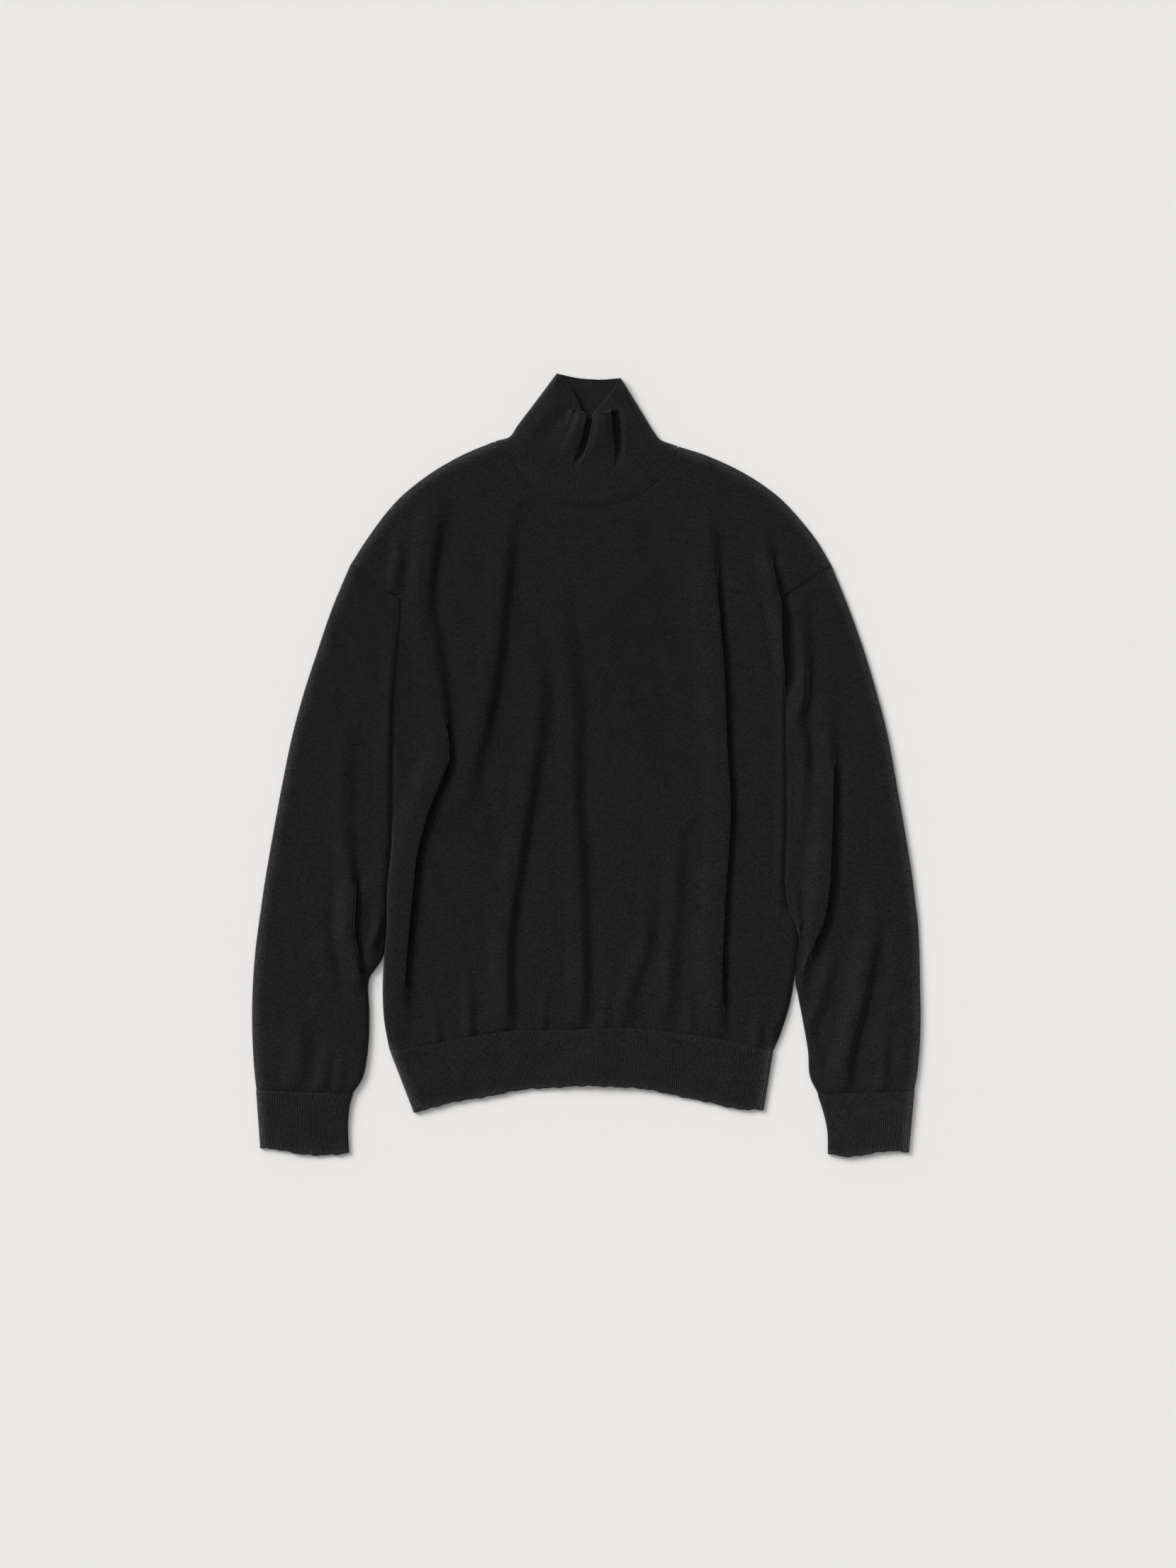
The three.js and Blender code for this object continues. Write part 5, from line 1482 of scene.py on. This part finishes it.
def collar():
    """The collar: a ribbed tube whose upper layer falls into two pleats at its mouth."""
    front_seam = off_seam(neckline, NECK_CENTRE, -SEAM_INSET)
    back_seam = moved(back_neck, 0, SEAM_INSET)

    def shifted(side, start):
        """A side edge that begins at start and soon follows its own line."""
        move = start - side(0.0)
        return lambda t: side(t) + move * (1 - smooth(np.asarray(t), 0, COLLAR_SHIFT))[..., None]

    sides = shifted(collar_left, front_seam(0.0)), shifted(collar_right, front_seam(1.0))

    def back_line(t):
        t = np.asarray(t, float)
        ends = lerp(front_seam(0.0), front_seam(1.0), t[..., None])
        return lerp(ends, back_seam(t), (4 * t * (1 - t))[..., None])

    upper = patch(front_seam, Curve(MOUTH_FRONT), *sides)
    lower = patch(back_line, Curve(MOUTH_BACK), *sides)
    lines = [(line, UprightLine(line["line"])) for line in COLLAR_LINES]

    def top(x, y, t, s):
        crowns, gaps = smooth(y, *PLEATS), smooth(y, *GAPS)
        beyond = smooth(y, *GAP_END)
        places = [at(y) for _, at in lines]
        heights = [
            lerp(lerp(COLLAR_TOP, line["gap"], gaps), BEHIND_LIPS, beyond) if "gap" in line
            else lerp(COLLAR_TOP, line["height"], crowns) for line, _ in lines
        ]
        leans = [line.get("lean", 0) * crowns for line, _ in lines]
        side = 2 * SEAM_RADIUS
        left_edge, right_edge = collar_left(t)[..., 0], collar_right(t)[..., 0]
        out = np.clip((x - left_edge) / np.maximum(places[0] - left_edge, COLLAR_SIDE), 0, 1)
        height, lean = lerp(side, heights[0], round_edge(out, 1)), np.zeros_like(x)
        ends = list(zip(places, heights, leans))
        for (x0, h0, lean0), (x1, h1, lean1) in zip(ends, ends[1:]):
            between, share = (x > x0) & (x <= x1), smooth(x, x0, x1)
            height = np.where(between, lerp(h0, h1, share), height)
            lean = np.where(between, lerp(lean0, lean1, share), lean)
        out = np.clip((right_edge - x) / np.maximum(right_edge - places[-1], COLLAR_SIDE), 0, 1)
        height = np.where(x > places[-1], lerp(side, heights[-1], round_edge(out, 1)), height)
        for lip in LIPS:
            start, end = lip["between"]
            edge = UprightLine(lip["line"])(x)
            behind = smooth(y, edge, edge + LIP_FALL)
            behind = behind * smooth(x, start - LIP_EDGE, start + LIP_EDGE)
            behind = behind * (1 - smooth(x, end - LIP_EDGE, end + LIP_EDGE))
            height = lerp(height, np.minimum(height, lip["below"]), behind)
            lean = lean * (1 - behind)
        near = smooth(t * COLLAR_LENGTH, 0, NECK_RISE)
        return NECK_EDGE_TOP + near * (height - NECK_EDGE_TOP), lean

    def rib_phase(c, points):
        """Ribs lie evenly along each row of the cloth, over the crowns and down into the gaps."""
        steps = np.linalg.norm(np.diff(points, axis=1), axis=-1)
        reach = np.concatenate([np.zeros_like(steps[:, :1]), np.cumsum(steps, 1)], 1)
        over = np.broadcast_to(c <= 1, reach.shape)
        full = np.max(np.where(over, reach, 0), 1, keepdims=True)
        return np.where(over, reach / full, (reach - full) / (reach[:, -1:] - full)) * COLLAR_RIBS

    def relief(t, c, points):
        ribbed = rib_profile(rib_phase(c, points)) * smooth(t, 0, COLLAR_RIBS_FROM)
        rim = RIM_DROP * (1 - round_edge((1 - t) * COLLAR_LENGTH, RIM_RADIUS))
        rim = rim * smooth(np.minimum(c, 1 - c), EDGE_SHARE, 3 * EDGE_SHARE)
        pressed = np.where(c > 1, PRESSED_RIB, 1)
        return settings().knit.rib_height / MM * ribbed * pressed - rim

    def lining(t, c, points):
        """The inside of the back layer shows its own ribs through the mouth."""
        ribs = np.abs(np.cos(math.pi * points[..., 0] / INSIDE_RIB_PITCH))
        return INSIDE_RIB_HEIGHT * ribs * (c > 1)

    def cloth(t, s, c, points):
        round_it = rib_phase(c, points) * RIB_PITCH
        return np.stack(np.broadcast_arrays(round_it, t * COLLAR_CLOTH), -1)

    tube = FlatTube(lambda t, s, under: lower(s, t) if under else upper(s, t), top, SEAM_RADIUS)
    return tube.shell(
        "collar_cloth", finish_named("rib_knit"), tube_grid(**COLLAR_GRID),
        tube_grid(**COLLAR_LINING, edge=LINING_EDGE_COLUMNS), relief, cloth, 1, lining,
    )


# Seams and loose fibres

def linking(name, line, height, ends):
    """A row of linking stitches that closes a seam, between two shares of its line."""
    steps = 2 + int(line_length(line) / LINK_STEP)
    t = np.linspace(*ends, steps)
    plan = line(t)
    along = unit(np.gradient(plan, axis=0))
    reach = np.concatenate([[0], np.cumsum(np.linalg.norm(np.diff(plan, axis=0), axis=-1))])
    radius = LINK_RADIUS * (1 + LINK_SWELL * np.cos(2 * math.pi * reach / LINK_PITCH))
    radius[[0, -1]] = LINK_TIP
    angle = np.linspace(0, 2 * math.pi, LINK_SIDES, endpoint=False)
    aside = np.stack([-along[:, 1], along[:, 0]], -1)
    centre = np.concatenate([plan, height(t)[:, None]], -1)
    flat = aside[:, None] * np.cos(angle)[:, None]
    ring = np.concatenate([flat, np.zeros((steps, LINK_SIDES, 1))], -1)
    ring = ring + np.sin(angle)[:, None] * np.array([0, 0, 1])
    points = centre[:, None] + ring * radius[:, None, None]
    cloth = np.stack(np.broadcast_arrays(angle * LINK_RADIUS, reach[:, None]), -1)
    shell = Shell()
    shell.skin(shell.add(points, cloth), closed=True)
    piece = shell.make(name, finish_named("linking_yarn"))
    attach(piece, "root")
    return piece


def line_length(line):
    return np.sum(np.linalg.norm(np.diff(line(np.linspace(0, 1, 200)), axis=0), axis=-1))


def fibres(name, edges):
    """Loose fibres along edges: each edge is a line, its height, which side is out, and how many
    fibres stand on a millimetre of it."""
    fuzz = settings().fuzz
    rng = np.random.default_rng(fuzz.seed + len(name))
    starts, outward = [], []
    for line, height, side, density in edges:
        t = np.sort(rng.random(int(line_length(line) * density)))
        plan = line(t)
        along = line(np.minimum(t + EDGE_STEP, 1)) - line(np.maximum(t - EDGE_STEP, 0))
        out = side * unit(np.stack([along[:, 1], -along[:, 0]], -1))
        level = rng.uniform(*height, (len(t), 1))
        starts.append(np.concatenate([plan - FIBRE_ROOT * out, level], -1))
        outward.append(out)
    start, out = np.concatenate(starts), np.concatenate(outward)
    count = len(start)
    turn = rng.normal(0, FIBRE_TURN, count)
    bend = rng.normal(0, FIBRE_BEND, count)
    length = fuzz.length / MM * rng.beta(*FIBRE_LENGTHS, count)
    rise = rng.normal(*FIBRE_RISE, count)
    steps = np.linspace(0, 1, FIBRE_STEPS)
    heading = turn[:, None] + bend[:, None] * steps
    across = np.stack([-out[:, 1], out[:, 0]], -1)
    way = out[:, None] * np.cos(heading)[..., None] + across[:, None] * np.sin(heading)[..., None]
    moves = way * (length / (FIBRE_STEPS - 1))[:, None, None]
    reach = np.concatenate([np.zeros((count, 1, 2)), np.cumsum(moves[:, 1:], 1)], 1)
    plan = start[:, None, :2] + reach
    z = np.maximum(start[:, None, 2] + (rise * length)[:, None] * steps, FIBRE_FLOOR)
    centre = np.concatenate([plan, z[..., None]], -1)
    aside = np.stack([-way[..., 1], way[..., 0], np.zeros_like(z)], -1)
    angle = np.linspace(0, 2 * math.pi, FIBRE_SIDES, endpoint=False)
    upright = np.array([0, 0, 1]) * np.sin(angle)[:, None]
    ring = aside[:, :, None] * np.cos(angle)[:, None] + upright
    radius = fuzz.thickness / MM / 2 * (1 - FIBRE_TAPER * steps)
    points = centre[:, :, None] + ring * radius[:, None, None]
    shell = Shell()
    for strand in points:
        shell.skin(shell.add(strand, np.zeros(strand.shape[:-1] + (2,))), closed=True)
    piece = shell.make(name, finish_named("loose_fibre"))
    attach(piece, "root")
    return piece


def take_place(piece, node):
    """The piece stands for its CAD node."""
    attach(piece, "root")
    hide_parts(node)


class SWEATER_OT_body(Operator):
    """Build the front and back panels in place of their solids"""

    bl_idname = "sweater.body"
    bl_label = "Body"

    def execute(self, context):
        front, back = front_panel(), back_panel()
        take_place(front, "front")
        take_place(back, "back")
        return {"FINISHED"}


class SWEATER_OT_sleeves(Operator):
    """Build both sleeves in place of their solids"""

    bl_idname = "sweater.sleeves"
    bl_label = "Sleeves"

    def execute(self, context):
        for name, rows, folds, armhole, to_inner in (
            ("sleeve_left", SLEEVE_LEFT_ROWS, LEFT_SLEEVE_FOLDS, armhole_left, 1),
            ("sleeve_right", SLEEVE_RIGHT_ROWS, RIGHT_SLEEVE_FOLDS, armhole_right, -1),
        ):
            piece = sleeve(f"{name}_cloth", rows, folds, armhole, to_inner)
            take_place(piece, name)
        return {"FINISHED"}


class SWEATER_OT_bands(Operator):
    """Build the ribbed hem band and both cuffs in place of their solids"""

    bl_idname = "sweater.bands"
    bl_label = "Hem Band and Cuffs"

    def execute(self, context):
        hem = hem_band()
        take_place(hem, "hem_band")
        for name, row, edge, side in (
            ("cuff_left", SLEEVE_LEFT_ROWS[-1], cuff_left_edge, CUFF_INNER_LEFT),
            ("cuff_right", SLEEVE_RIGHT_ROWS[-1], cuff_right_edge, CUFF_INNER_RIGHT),
        ):
            on_left = row["outer"][0] < 0
            ends = [row[end] for end in (("outer", "inner") if on_left else ("inner", "outer"))]
            piece = cuff(f"{name}_cloth", ends, edge, side, on_left)
            take_place(piece, name)
        return {"FINISHED"}


class SWEATER_OT_collar(Operator):
    """Build the ribbed collar in place of its solid"""

    bl_idname = "sweater.collar"
    bl_label = "Collar"

    def execute(self, context):
        piece = collar()
        take_place(piece, "collar")
        return {"FINISHED"}


class SWEATER_OT_seams(Operator):
    """Lay the linking stitches along the hem, cuff, neck and armhole seams"""

    bl_idname = "sweater.seams"
    bl_label = "Linking Stitches"

    def execute(self, context):
        def sinking(name, line, seam):
            """The linking of a seam that sinks at both of its ends."""
            def height(t):
                rise = round_edge(np.minimum(t, 1 - t) * seam["length"], seam["roll"])
                return lerp(seam["floor"], SEAM_TOP - LINK_SINK, rise)

            linking(name, line, height, seam["ends"])

        def level(t):
            return np.full_like(t, NECK_EDGE_TOP - LINK_SINK)

        sinking("hem_linking", hem_seam, HEM_LINKING)
        linking("neck_linking", neckline, level, NECK_LINKING_ENDS)
        for name, armhole in (("left", armhole_left), ("right", armhole_right)):
            sinking(f"armhole_{name}_linking", armhole, ARMHOLE_LINKING)
        for name, rows in (("left", SLEEVE_LEFT_ROWS), ("right", SLEEVE_RIGHT_ROWS)):
            seam = straight(rows[-1]["outer"], rows[-1]["inner"])
            sinking(f"cuff_{name}_linking", seam, CUFF_LINKING)
        return {"FINISHED"}


class SWEATER_OT_fuzz(Operator):
    """Grow the loose fibres along the open edges and the outline"""

    bl_idname = "sweater.fuzz"
    bl_label = "Loose Fibres"

    def execute(self, context):
        rim, side = RIM_FIBRES, SIDE_FIBRES
        fibres("hem_fibres", [(hem_edge, rim, 1, 2.2)])
        fibres("cuff_fibres", [
            (cuff_left_edge, rim, 1, 1.6), (cuff_right_edge, rim, 1, 2),
        ])
        fibres("collar_fibres", [
            (Curve(MOUTH_BACK), rim, -1, 2.2), (collar_left, side, -1, 1),
            (collar_right, side, 1, 1),
        ])
        fibres("outline_fibres", [
            (shoulder_left, side, -1, 1.2), (shoulder_right, side, -1, 1.2),
            (sleeve_left_edge, side, 1, 1), (sleeve_right_edge, side, -1, 1),
        ])
        return {"FINISHED"}


class SWEATER_OT_studio(Operator):
    """Set the pale floor, the soft light from the left and the camera over the garment"""

    bl_idname = "sweater.studio"
    bl_label = "Studio"

    def execute(self, context):
        studio = settings().studio
        scene = context.scene
        scene.view_settings.view_transform = "Standard"
        mesh = bpy.data.meshes.new("floor")
        signs = ((-1, -1), (1, -1), (1, 1), (-1, 1))
        corners = [(x * FLOOR_HALF, y * FLOOR_HALF, 0) for x, y in signs]
        mesh.from_pydata(corners, [], [(0, 1, 2, 3)])
        floor = bpy.data.objects.new("floor", mesh)
        floor.location.z = -FLOOR_DROP
        scene.collection.objects.link(floor)
        paper = Finish("pale_floor")
        grain = paper.noise(GRAIN_SIZE, 2)
        colour = paper.mix(grain, *(shade(studio.floor, factor) for factor in GRAIN_SHADES))
        shader = paper.node("ShaderNodeBsdfDiffuse", None, {"Color": colour})
        paper.node("ShaderNodeOutputMaterial", None, {"Surface": shader})
        mesh.materials.append(paper.material)

        for name, sun in LIGHTS.items():
            light = bpy.data.lights.new(f"{name}_light", "SUN")
            light.energy = getattr(studio, name)
            light.angle = math.radians(sun["spread"])
            lamp = bpy.data.objects.new(f"{name}_light", light)
            lamp.rotation_euler = Vector(sun["towards"]).to_track_quat("Z", "Y").to_euler()
            scene.collection.objects.link(lamp)

        world = bpy.data.worlds.new("room")
        world.use_nodes = True
        room = world.node_tree.nodes["Background"].inputs
        room["Color"].default_value = ROOM_COLOUR
        room["Strength"].default_value = studio.fill
        scene.world = world

        lens = bpy.data.cameras.new("camera")
        lens.sensor_width = SENSOR_WIDTH
        lens.lens = SENSOR_WIDTH * studio.height / (FRAME_HEIGHT * MM)
        camera = bpy.data.objects.new("camera", lens)
        camera.location = (*(MM * c for c in CAMERA_AIM), CLOTH_PLANE * MM + studio.height)
        scene.collection.objects.link(camera)
        scene.camera = camera
        return {"FINISHED"}


class SWEATER_PT_panel(Panel):
    """Sizes, colours and building steps of the sweater"""

    bl_idname = "SWEATER_PT_panel"
    bl_label = "Turtleneck Sweater"
    bl_space_type = "VIEW_3D"
    bl_region_type = "UI"
    bl_category = "Sweater"

    def draw(self, context):
        for part in ("knit", "yarn", "fuzz", "studio"):
            group = getattr(context.scene.sweater, part)
            box = self.layout.box()
            box.label(text=part.title())
            for name in group.bl_rna.properties.keys():
                if name not in ("rna_type", "name"):
                    box.prop(group, name)
        for operator in OPERATORS:
            self.layout.operator(operator.bl_idname)


GROUPS = (KnitSettings, YarnSettings, FuzzSettings, StudioSettings, SweaterSettings)
OPERATORS = (
    SWEATER_OT_studio, SWEATER_OT_body, SWEATER_OT_sleeves, SWEATER_OT_bands, SWEATER_OT_collar,
    SWEATER_OT_seams, SWEATER_OT_fuzz,
)
CLASSES = (*GROUPS, *OPERATORS, SWEATER_PT_panel)


def register():
    for cls in CLASSES:
        bpy.utils.register_class(cls)
    bpy.types.Scene.sweater = PointerProperty(type=SweaterSettings)


def unregister():
    del bpy.types.Scene.sweater
    for cls in reversed(CLASSES):
        bpy.utils.unregister_class(cls)


def main():
    register()
    bpy.ops.sweater.studio()
    bpy.ops.sweater.body()
    bpy.ops.sweater.sleeves()
    bpy.ops.sweater.bands()
    bpy.ops.sweater.collar()
    bpy.ops.sweater.seams()
    bpy.ops.sweater.fuzz()


if __name__ == "__main__":
    main()
